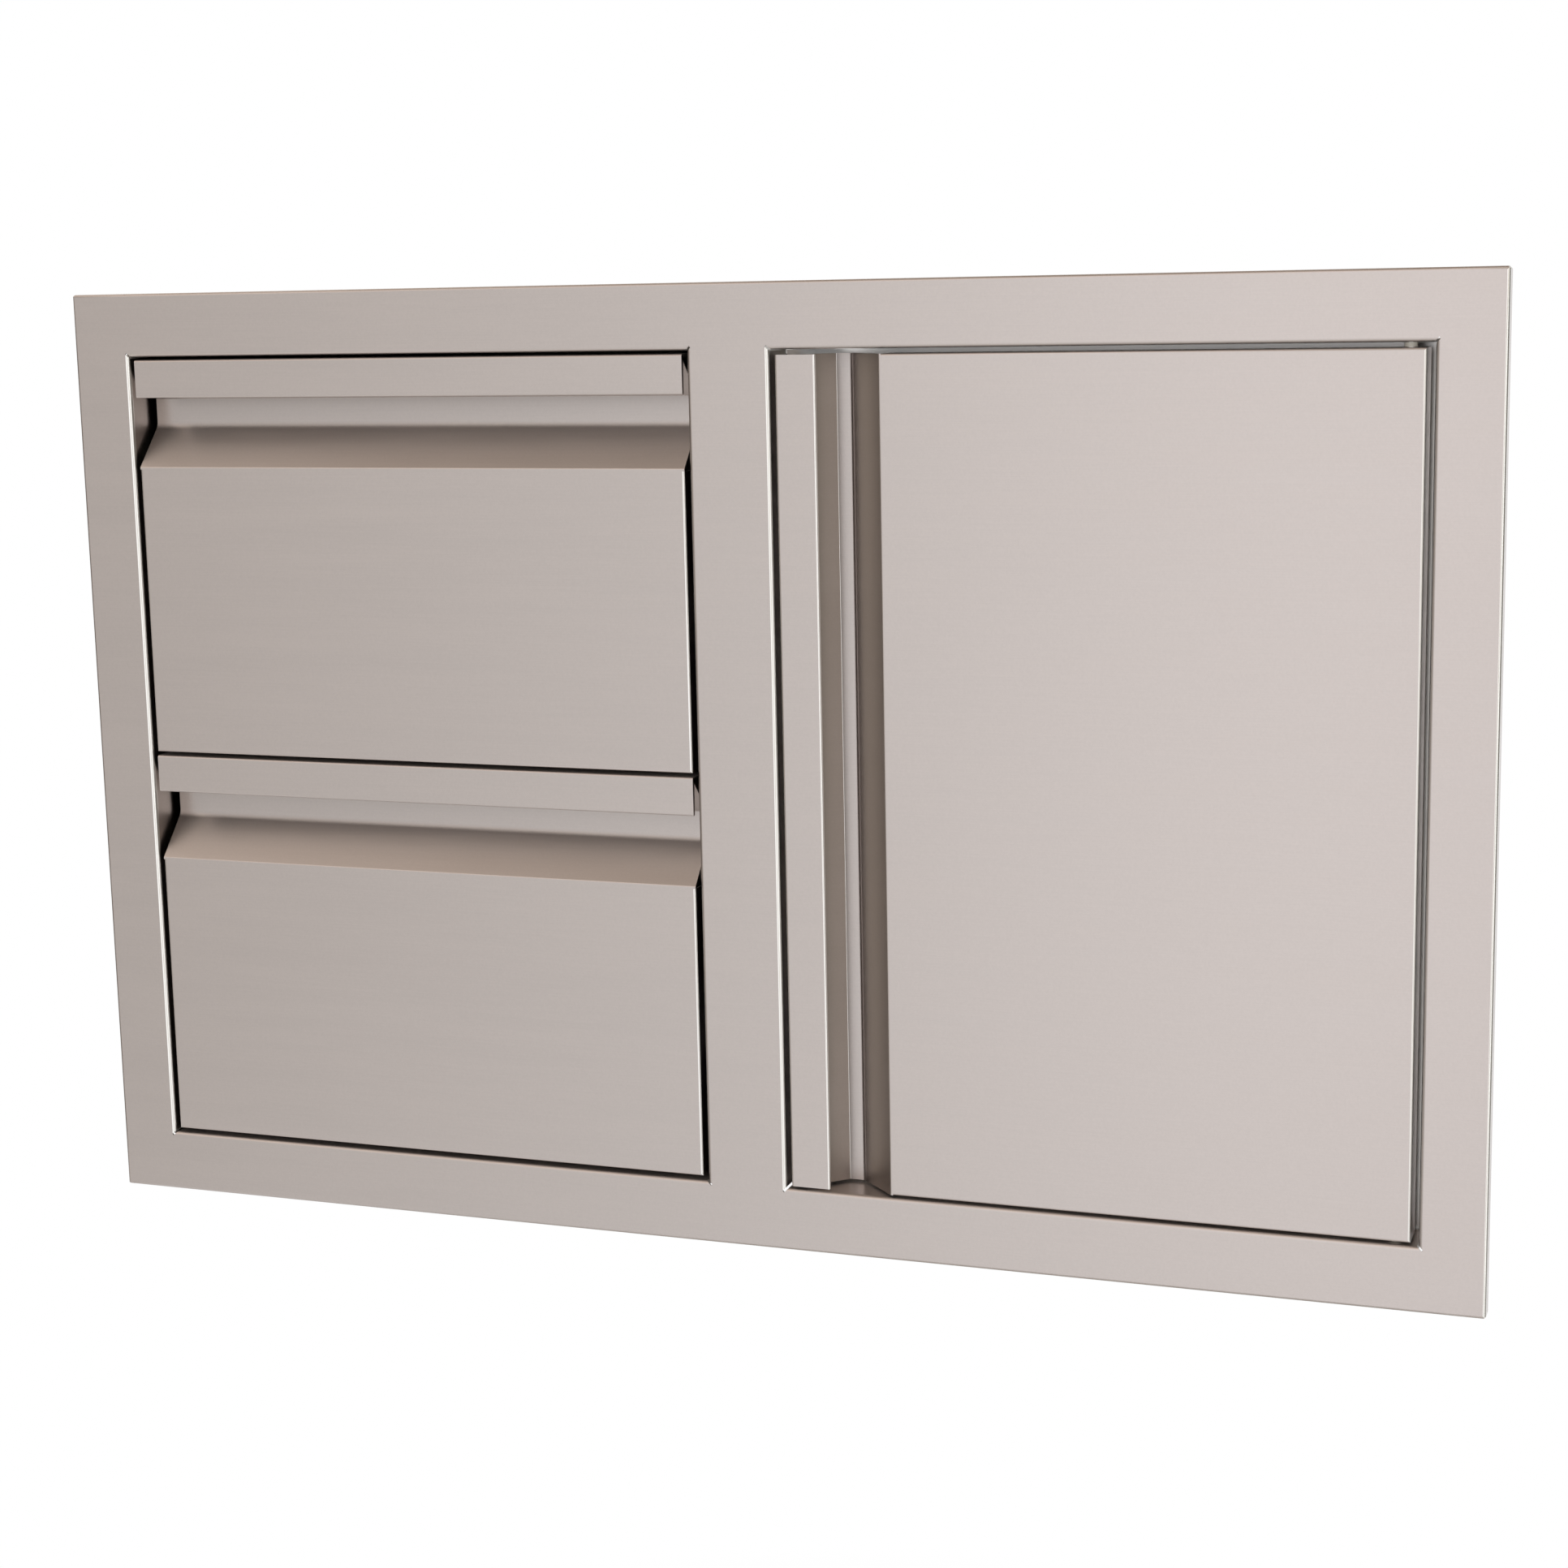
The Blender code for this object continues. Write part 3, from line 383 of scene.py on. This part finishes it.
def satin_steel(name, along, across):
    """Mill finish: faint rolling lines and soft cloudy patches."""
    lines = tuple(a + c for a, c in zip(along, across))

    def colour(wires):
        patches = wires.noise(PATCHES, 4.0).step(0.3, 0.75)
        shade = wires.noise(lines, 2.0) * 0.5 + patches * 0.5
        return shade.step(0.2, 0.8).between(*shades(SATIN_TONE, SATIN_SPREAD))

    def roughness(wires):
        return wires.noise(PATCHES, 4.0) * 0.06 + wires.noise(lines, 2.0) * 0.06 + SATIN_ROUGHNESS

    def normal(wires):
        return wires.node("Bump", {}, {"Strength": 0.1, "Distance": 0.00005, "Height": wires.noise(lines, 2.0)})

    return finish(name, colour, roughness, normal, metallic=1.0)


def dress(material, *names):
    """Gives CAD nodes this material."""
    for name in names:
        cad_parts[name].material_slots[0].material = material


def heads_tree():
    """Geometry Nodes tree that puts a ball, or a flattened dome facing its own way, on each point."""
    tree = bpy.data.node_groups.new("round_heads", "GeometryNodeTree")
    sockets = tree.interface
    sockets.new_socket("Points", in_out="INPUT", socket_type="NodeSocketGeometry")
    sockets.new_socket("Radius", in_out="INPUT", socket_type="NodeSocketFloat")
    sockets.new_socket("Height", in_out="INPUT", socket_type="NodeSocketFloat")
    sockets.new_socket("Finish", in_out="INPUT", socket_type="NodeSocketMaterial")
    sockets.new_socket("Heads", in_out="OUTPUT", socket_type="NodeSocketGeometry")
    kinds = ("NodeGroupInput", "GeometryNodeMeshUVSphere", "GeometryNodeSetShadeSmooth", "ShaderNodeCombineXYZ",
             "GeometryNodeTransform", "GeometryNodeInputNamedAttribute", "FunctionNodeAlignRotationToVector",
             "GeometryNodeInstanceOnPoints", "GeometryNodeRealizeInstances", "GeometryNodeSetMaterial",
             "NodeGroupOutput")
    made = [tree.nodes.new(kind) for kind in kinds]
    given, ball, smooth, scale, flat, facing, turn, spread, real, dressed, result = made
    ball.inputs["Segments"].default_value = HEAD_SEGMENTS
    ball.inputs["Rings"].default_value = HEAD_RINGS
    scale.inputs["X"].default_value = 1
    scale.inputs["Y"].default_value = 1
    facing.data_type = "FLOAT_VECTOR"
    facing.inputs["Name"].default_value = "facing"
    turn.axis = "Z"
    for source, output, target, entry in (
            (given, "Radius", ball, "Radius"), (ball, "Mesh", smooth, 0), (given, "Height", scale, "Z"),
            (smooth, 0, flat, "Geometry"), (scale, 0, flat, "Scale"), (facing, "Attribute", turn, "Vector"),
            (given, "Points", spread, "Points"), (flat, 0, spread, "Instance"), (turn, 0, spread, "Rotation"),
            (spread, 0, real, 0), (real, 0, dressed, "Geometry"), (given, "Finish", dressed, "Material"),
            (dressed, 0, result, 0)):
        tree.links.new(source.outputs[output], target.inputs[entry])
    return tree


HEADS = heads_tree()


def facing_point(bm, place, outward=(0, 0, 1)):
    """Point for a head, with the way it faces."""
    layer = bm.verts.layers.float_vector.get("facing") or bm.verts.layers.float_vector.new("facing")
    bm.verts.new(place)[layer] = outward


def round_heads(name, bm, radius, height, material):
    """One mesh of heads on the points: height is a head's rise as a part of its radius."""
    heads = linked(name, bm)
    modifier = heads.modifiers.new("heads", "NODES")
    modifier.node_group = HEADS
    values = {"Radius": radius, "Height": height, "Finish": material}
    for item in HEADS.interface.items_tree:
        if item.in_out == "INPUT" and item.name in values:
            modifier[item.identifier] = values[item.name]
    return frozen(heads)


def tinted(cells, detail, dark, light):
    """Colour that wanders from dark to light."""
    return lambda wires: wires.noise(cells, detail).between((*dark, 1), (*light, 1))


def mottled(cells, detail, spread, base):
    """Roughness that wanders over this spread above base."""
    return lambda wires: wires.noise(cells, detail) * spread + base


upright_mill = satin_steel("satin_steel_sides", (0, 30, 0), (500, 0, 500))
flat_mill = satin_steel("satin_steel_back", (30, 0, 0), (0, 500, 500))
dress(upright_mill, "housing_left_side", "housing_right_side", "housing_top", "housing_bottom")
dress(flat_mill, "housing_back")
weld_mark = finish("spot_weld", tinted(WELD_SPOTS, 3.0, (0.24, 0.2, 0.17), (0.34, 0.31, 0.29)),
                   mottled(WELD_SPOTS, 3.0, 0.2, 0.35), metallic=1.0)
bm = bmesh.new()
for step in range(SIDE_WELDS):
    for y in (WELD_FRONT, WELD_REAR):
        for x, way in HOUSING_SIDES:
            facing_point(bm, (x, y, SIDE_START + SIDE_PITCH * step), (way, 0, 0))
for step in range(LID_WELDS):
    for z, way in ((HOUSING_TOP, 1), (-HOUSING_TOP, -1)):
        facing_point(bm, (LID_START + LID_PITCH * step, WELD_FRONT, z), (0, 0, way))
welds = round_heads("housing_spot_welds", bm, WELD_RADIUS, WELD_RISE, weld_mark)
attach(welds, "cabinet")

# Drawer slides. Three channels of zinc-plated steel a side: the outer one is riveted to the housing, the inner
# one to the tray, and the middle one runs between them on rows of steel balls.
SLIDE_LEVELS = {"upper": 0.08565, "lower": -0.1551}
SLIDE_FRONT, SLIDE_LENGTH = 0.0215, 0.4572
SLIDE_SIDES = ((-0.386475, 1), (-0.024075, -1))
TRAY_SIDES = ((-0.372475, 1), (-0.038075, -1))
BALL_PITCH, BALLS_IN_ROW = 0.02, 11
ROW_INSET, ROW_LENGTH = 0.01, BALL_PITCH * (BALLS_IN_ROW - 1)
# A row's distance from the slide's side and from its middle, its balls' radius, and where it starts.
BALL_ROWS = {"outer": (0.0052, 0.0191, 0.0021, SLIDE_FRONT + SLIDE_LENGTH - ROW_INSET - ROW_LENGTH),
             "inner": (0.0068, 0.0139, 0.0017, SLIDE_FRONT + ROW_INSET)}
RIVET_PLACES = (0.045, 0.13, 0.29, 0.445)
RIVET_RADIUS, RIVET_RISE = 0.0035, 0.35
BLOOM, DRAWN_LINES, POLISH = (60, 60, 60), (700, 20, 700), (400, 400, 400)


def zinc_plate(name):
    """Bright zinc with cloudy bloom, over the lines of drawn steel."""
    def colour(wires):
        return wires.noise(BLOOM, 5.0).step(0.35, 0.7).between((0.47, 0.5, 0.53, 1), (0.62, 0.63, 0.61, 1))

    def roughness(wires):
        return wires.noise(BLOOM, 5.0) * 0.2 + wires.noise(DRAWN_LINES, 2.0) * 0.08 + 0.2

    def normal(wires):
        drawn = wires.noise(DRAWN_LINES, 2.0)
        return wires.node("Bump", {}, {"Strength": 0.15, "Distance": 0.00005, "Height": drawn})

    return finish(name, colour, roughness, normal, metallic=1.0)


zinc = zinc_plate("zinc_plated_steel")
for level in SLIDE_LEVELS:
    for hand in ("left", "right"):
        dress(zinc, *(f"{level}_{hand}_slide_{member}" for member in ("outer", "middle", "inner")))
bright_steel = tinted(POLISH, 2.0, (0.55, 0.55, 0.55), (0.7, 0.7, 0.69))
polished = finish("bearing_steel", bright_steel, mottled(POLISH, 2.0, 0.06, 0.1), metallic=1.0)
for level, height in SLIDE_LEVELS.items():
    for row, (across, up, radius, start) in BALL_ROWS.items():
        bm = bmesh.new()
        for edge, side in SLIDE_SIDES:
            for way in (1, -1):
                for count in range(BALLS_IN_ROW):
                    facing_point(bm, (edge + side * across, start + BALL_PITCH * count, height + way * up))
        balls = round_heads(f"{level}_slide_{row}_balls", bm, radius, 1.0, polished)
        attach(balls, f"{level}_slide_middles")

rivet_steel = finish("rivet_steel", bright_steel, mottled(POLISH, 2.0, 0.1, 0.25), metallic=1.0)
for level, height in SLIDE_LEVELS.items():
    bm = bmesh.new()
    for x, way in TRAY_SIDES:
        for y in RIVET_PLACES:
            facing_point(bm, (x, y, height), (way, 0, 0))
    rivets = round_heads(f"{level}_tray_rivets", bm, RIVET_RADIUS, RIVET_RISE, rivet_steel)
    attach(rivets, f"{level}_drawer")
bm = bmesh.new()
for height in SLIDE_LEVELS.values():
    for x, way in HOUSING_SIDES:
        for y in RIVET_PLACES:
            facing_point(bm, (x, y, height), (way, 0, 0))
rivets = round_heads("housing_rivets", bm, RIVET_RADIUS, RIVET_RISE, rivet_steel)
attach(rivets, "cabinet")

# Drawer fronts. One sheet of 1 mm stainless steel each, folded into its own finger pull: a hemmed band, a chamfer
# behind it, a back wall and a slope out to the flat front, with folded returns that hold a liner at the back.
SKIN_SHEET, SKIN_BEND, SKIN_RETURN = 0.001, 0.0013, 0.019
RECESS_DEPTH, HEM_DEPTH = 0.0223, 0.0024
DRAWER_BAND, DRAWER_BACK_START, DRAWER_BACK_WALL = 0.0226, 0.024, 0.0162
DRAWER_CREASE, DRAWER_WALL_BEND = 0.0641, 0.007
GAP_LEFT, GAP_RIGHT, GAP_TOP, GAP_BETWEEN, GAP_BOTTOM = 0.0035, 0.003, 0.002, 0.0024, 0.0029
DRAWER_FRONT_LEFT, DRAWER_FRONT_RIGHT = DRAWER_LEFT + GAP_LEFT, DRAWER_RIGHT - GAP_RIGHT
DRAWER_FRONT_HEIGHT = (OPENING_HEIGHT - (GAP_TOP + GAP_BETWEEN + GAP_BOTTOM)) / 2
DRAWER_TOPS = {"upper": OPENING_TOP - GAP_TOP,
               "lower": OPENING_TOP - (GAP_TOP + GAP_BETWEEN) - DRAWER_FRONT_HEIGHT}


def pull_line(band, back_start, back_wall, crease, wall_bend):
    """Finger pull from the band's edge to the crease: hem, chamfer behind the band, back wall and slope."""
    inner_bend = SKIN_BEND - SKIN_SHEET
    chamfer_start = back_start - (RECESS_DEPTH - HEM_DEPTH)
    return rounded([(band - SKIN_BEND, 0), (band, 0, HEM_DEPTH / 2), (band, HEM_DEPTH, HEM_DEPTH / 2),
                    (chamfer_start, HEM_DEPTH, inner_bend), (back_start, RECESS_DEPTH, inner_bend),
                    (back_start + back_wall, RECESS_DEPTH, wall_bend), (crease, 0, SKIN_BEND),
                    (crease + SKIN_BEND, 0)])


def flanged_end(bm, open_edge, closed_edge, half_width, section):
    """Flat end of a panel, with a mitred flange of this section on its three outer sides."""
    rows = []
    for inset, depth in section:
        side = half_width - inset
        end = closed_edge - inset
        rows.append([(open_edge, -side, depth), (end, -side, depth), (end, side, depth), (open_edge, side, depth)])
    add_grid(bm, rows)
    first = rows[0]
    add_grid(bm, [[first[0], first[3]], [first[1], first[2]]])


def skin(name, length, width, strip, origin, along, across, material, cutters=()):
    """Skin with a folded pull across its length. The band keeps its outer flange only, and is open at both sides."""
    bm = bmesh.new()
    half = width / 2
    section = rounded([(SKIN_BEND, 0), (0, 0, SKIN_BEND), (0, SKIN_RETURN)])
    flat = half - section[0][0]
    strip = section[::-1] + strip
    flanged_end(bm, strip[-1][0], length, half, section)
    add_grid(bm, [[(run, side, depth) for side in (-half, -flat, flat, half)] for run, depth in strip])
    place = Matrix.Translation(origin) @ Matrix((along, across, (0, 1, 0))).transposed().to_4x4()
    bmesh.ops.transform(bm, matrix=place, verts=bm.verts)
    return folded_sheet(name, bm, SKIN_SHEET, (0, -1, 0), material, cutters)


folded_grain = brushed_steel("brushed_steel_drawers", (GRAIN_LONG, 0, 0), (0, GRAIN_FINE, GRAIN_FINE))
strip = pull_line(DRAWER_BAND, DRAWER_BACK_START, DRAWER_BACK_WALL, DRAWER_CREASE, DRAWER_WALL_BEND)
for level, top in DRAWER_TOPS.items():
    middle = ((DRAWER_FRONT_LEFT + DRAWER_FRONT_RIGHT) / 2, FRONT_Y, top)
    front = skin(f"{level}_drawer_skin", DRAWER_FRONT_HEIGHT, DRAWER_FRONT_RIGHT - DRAWER_FRONT_LEFT, strip, middle,
                 (0, 0, -1), (1, 0, 0), folded_grain)
    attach(front, f"{level}_drawer")
    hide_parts(f"{level}_drawer_front")
    dress(flat_mill, f"{level}_drawer_front_liner", f"{level}_drawer_back")
    dress(upright_mill, f"{level}_drawer_tray")

# Door. The same folded sheet with its pull down the left side, brushed level, on two pins near its right edge.
# A liner pan closes its back and carries the strikes of the magnet catches.
DOOR_BAND, DOOR_BACK_START, DOOR_BACK_WALL = 0.0237, 0.0288, 0.0092
DOOR_CREASE, DOOR_WALL_BEND = 0.0605, 0.0035
DOOR_GAP_LEFT, DOOR_GAP_RIGHT, DOOR_GAP_TOP, DOOR_GAP_BOTTOM = 0.0032, 0.0043, 0.003, 0.0018
DOOR_WIDTH = DOOR_OPENING - (DOOR_GAP_LEFT + DOOR_GAP_RIGHT)
DOOR_TOP, DOOR_BOTTOM = OPENING_TOP - DOOR_GAP_TOP, OPENING_BOTTOM + DOOR_GAP_BOTTOM
door_grain = brushed_steel("brushed_steel_door", (GRAIN_LONG, GRAIN_LONG, 0), (0, 0, GRAIN_FINE))
strip = pull_line(DOOR_BAND, DOOR_BACK_START, DOOR_BACK_WALL, DOOR_CREASE, DOOR_WALL_BEND)
door = skin("door_sheet", DOOR_WIDTH, DOOR_TOP - DOOR_BOTTOM, strip,
            (DOOR_LEFT + DOOR_GAP_LEFT, FRONT_Y, (DOOR_TOP + DOOR_BOTTOM) / 2), (1, 0, 0), (0, 0, 1), door_grain,
            [pin_bore(DOOR_TOP), pin_bore(DOOR_BOTTOM)])
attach(door, "door")
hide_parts("door_skin")
dress(upright_mill, "door_skin_liner")

# Pivots of the door. A headed pin of ground steel goes down through a plate behind the frame's return, a nylon
# washer in the gap, and a nylon bushing in a block inside the door.
MOULD_GRAIN, NYLON_CLOUDS, GRINDING = (1500, 1500, 1500), (300, 300, 300), (300, 300, 4000)


def moulded(wires):
    """The fine matt grain of a moulding."""
    return wires.node("Bump", {}, {"Strength": 0.1, "Distance": 0.0001, "Height": wires.noise(MOULD_GRAIN, 2.0)})


nylon = finish("natural_nylon", tinted(NYLON_CLOUDS, 3.0, (0.66, 0.64, 0.57), (0.74, 0.72, 0.66)),
               mottled(NYLON_CLOUDS, 3.0, 0.15, 0.4), moulded)
ground = finish("ground_pin_steel", bright_steel, mottled(GRINDING, 2.0, 0.2, 0.15), metallic=1.0)
for level in ("upper", "lower"):
    dress(nylon, f"{level}_pivot_washer", f"{level}_pivot_bushing")
    dress(ground, f"{level}_pivot_pin")
    dress(zinc, f"{level}_pivot_plate", f"{level}_pivot_block", f"{level}_strike_plate")

# Catches and bumpers. Moulded black cases with a magnet each, fixed behind the stop flange, and soft rubber
# discs that the door's liner closes against.
BLACK_CLOUDS = (500, 500, 500)
soot = tinted(BLACK_CLOUDS, 3.0, (0.022, 0.022, 0.023), (0.045, 0.044, 0.043))
case_plastic = finish("black_moulding", soot, mottled(BLACK_CLOUDS, 3.0, 0.2, 0.4), moulded)
rubber = finish("black_rubber", soot, mottled(BLACK_CLOUDS, 3.0, 0.15, 0.7), moulded)
for level in ("upper", "lower"):
    dress(case_plastic, f"{level}_magnet_catch")
    dress(rubber, f"{level}_door_bumper")

# Floor. A plain pale floor well below the part, which turns to the white of the background towards its rim.
FLOOR_MIDDLE, FLOOR_RADIUS, FLOOR_SIDES = (0, 0.2, -1.0), 1.5, 96
FLOOR_TONE, FLOOR_ROUGHNESS = (0.87, 0.94, 0.99, 1), 0.8
# Distances from the origin, which is a metre above the floor, where it starts to turn white and is all white.
WHITE_FROM, WHITE_TO = 1.0, 1.5
floor_mesh = bmesh.new()
bmesh.ops.create_circle(floor_mesh, cap_ends=True, segments=FLOOR_SIDES, radius=FLOOR_RADIUS,
                        matrix=Matrix.Translation(FLOOR_MIDDLE))
floor = linked("floor", floor_mesh)
floor_material = bpy.data.materials.new("pale_floor")
floor_material.use_nodes = True
tree = floor_material.node_tree
wires = Wire(tree)
tree.nodes["Principled BSDF"].inputs["Base Color"].default_value = FLOOR_TONE
tree.nodes["Principled BSDF"].inputs["Roughness"].default_value = FLOOR_ROUGHNESS
white = wires.node("Emission", {}, {"Color": (1, 1, 1, 1), "Strength": 1.0})
place = wires.node("TexCoord", {}, {}, "Object")
reach = wires.node("VectorMath", {"operation": "LENGTH"}, {0: place}, "Value")
seen = wires.node("LightPath", {}, {}, "Is Camera Ray")
shiny = wires.node("LightPath", {}, {}, "Is Glossy Ray") + wires.node("LightPath", {}, {}, "Is Transmission Ray")
plain = Wire(tree, tree.nodes["Principled BSDF"].outputs[0])
mixed = wires.node("MixShader", {}, {0: (seen + shiny) * reach.step(WHITE_FROM, WHITE_TO), 1: plain, 2: white})
tree.links.new(mixed.socket, tree.nodes["Material Output"].inputs["Surface"])
floor.data.materials.append(floor_material)

# Light. A soft room: a bright wall in front, from the left up to the middle, and a bright patch at the right. The
# rest is dim and warm, and the ceiling is brightest at the left. Camera and reflections see white behind the part.
BRIGHTEST = 1.5
# Degrees from straight in front, positive to the right, and the red, green and blue that come from there.
ROOM = ((-180, 0.8, 0.8, 0.8), (-130, 0.15, 0.13, 0.11), (-70, 0.2, 0.18, 0.16), (-55, 0.5, 0.47, 0.43),
        (-45, 0.6, 0.57, 0.54), (-33, 0.725, 0.715, 0.705), (-28.6, 0.825, 0.82, 0.815), (-25.5, 0.89, 0.895, 0.89),
        (-20.6, 0.98, 0.99, 1.0), (-19, 0.995, 1.01, 1.02), (-17.2, 1.11, 1.12, 1.14), (-13.5, 1.24, 1.25, 1.27),
        (-9, 1.34, 1.35, 1.37), (-5, 1.42, 1.42, 1.46), (1, 1.3, 1.3, 1.34), (7, 0.62, 0.6, 0.53),
        (26, 0.5, 0.47, 0.38), (32, 1.4, 1.4, 1.4), (54, 1.4, 1.4, 1.4), (60, 0.3, 0.28, 0.23),
        (72, 0.08, 0.07, 0.05), (100, 0.2, 0.19, 0.17), (180, 0.8, 0.8, 0.8))
CEILING_LEFT, CEILING_RIGHT, ZENITH = (1.55, 1.37, 1.22, 1), (0.25, 0.22, 0.17, 1), (0.34, 0.27, 0.21, 1)
GROUND, WHITE = (1.1, 1.05, 0.95, 1), (1, 1, 1, 1)
world = bpy.data.worlds.new("studio")
bpy.context.scene.world = world
world.use_nodes = True
tree = world.node_tree
wires = Wire(tree)
direction = wires.node("TexCoord", {}, {}, "Generated")
right = wires.node("SeparateXYZ", {}, {0: direction}, "X")
back = wires.node("SeparateXYZ", {}, {0: direction}, "Y")
up = wires.node("SeparateXYZ", {}, {0: direction}, "Z")
azimuth = wires.math("ARCTAN2", right, 0.0 - back)
turned = wires.node("MapRange", {}, {"Value": azimuth, "From Min": -math.pi, "From Max": math.pi})
stops = [(angle / 360 + 0.5, (*(part / BRIGHTEST for part in colour), 1)) for angle, *colour in ROOM]
level_light = turned.node("ValToRGB", {"stops": stops}, {"Fac": turned})
level_light = wires.node("VectorMath", {"operation": "SCALE"}, {0: level_light, "Scale": BRIGHTEST})
overhead = right.step(0.25, 0.75).between(CEILING_LEFT, CEILING_RIGHT)
ceiling = up.step(0.6, 0.95).between(overhead, ZENITH)
room = up.step(0.3, 0.65).between(level_light, ceiling)
room = (0.0 - up).step(0.3, 0.8).between(room, GROUND)
seen = wires.node("LightPath", {}, {}, "Is Camera Ray")
shiny = wires.node("LightPath", {}, {}, "Is Glossy Ray") + wires.node("LightPath", {}, {}, "Is Transmission Ray")
background = wires.node("Clamp", {}, {"Value": seen + shiny * back.step(0.5, 0.8)})
colour = background.between(room, WHITE)
tree.links.new(colour.socket, tree.nodes["Background"].inputs["Color"])

# Camera, where the photograph was taken from: right of the middle, a little above, and looking slightly down.
# Its turn, tilt and roll are in degrees, and its focal length and the row of its axis in pixels of the photograph.
CAMERA_PLACE = (0.556334, -1.487854, 0.281404)
TURN, TILT, ROLL = 19.6816, 10.0404, -1.2074
SENSOR, PHOTO_SIZE, FOCAL_PIXELS, MIDDLE_ROW = 36, 1932, 3462.354, 954.2077
camera_data = bpy.data.cameras.new("camera")
camera_data.sensor_width = SENSOR
camera_data.lens = SENSOR * FOCAL_PIXELS / PHOTO_SIZE
camera_data.shift_y = (MIDDLE_ROW - PHOTO_SIZE / 2) / PHOTO_SIZE
camera = bpy.data.objects.new("camera", camera_data)
bpy.context.scene.collection.objects.link(camera)
camera.matrix_world = (Matrix.Translation(CAMERA_PLACE)
                       @ Matrix.Rotation(math.radians(TURN), 4, "Z")
                       @ Matrix.Rotation(math.radians(90 - TILT), 4, "X")
                       @ Matrix.Rotation(math.radians(ROLL), 4, "Z"))
bpy.context.scene.camera = camera
bpy.context.scene.view_settings.view_transform = "Standard"
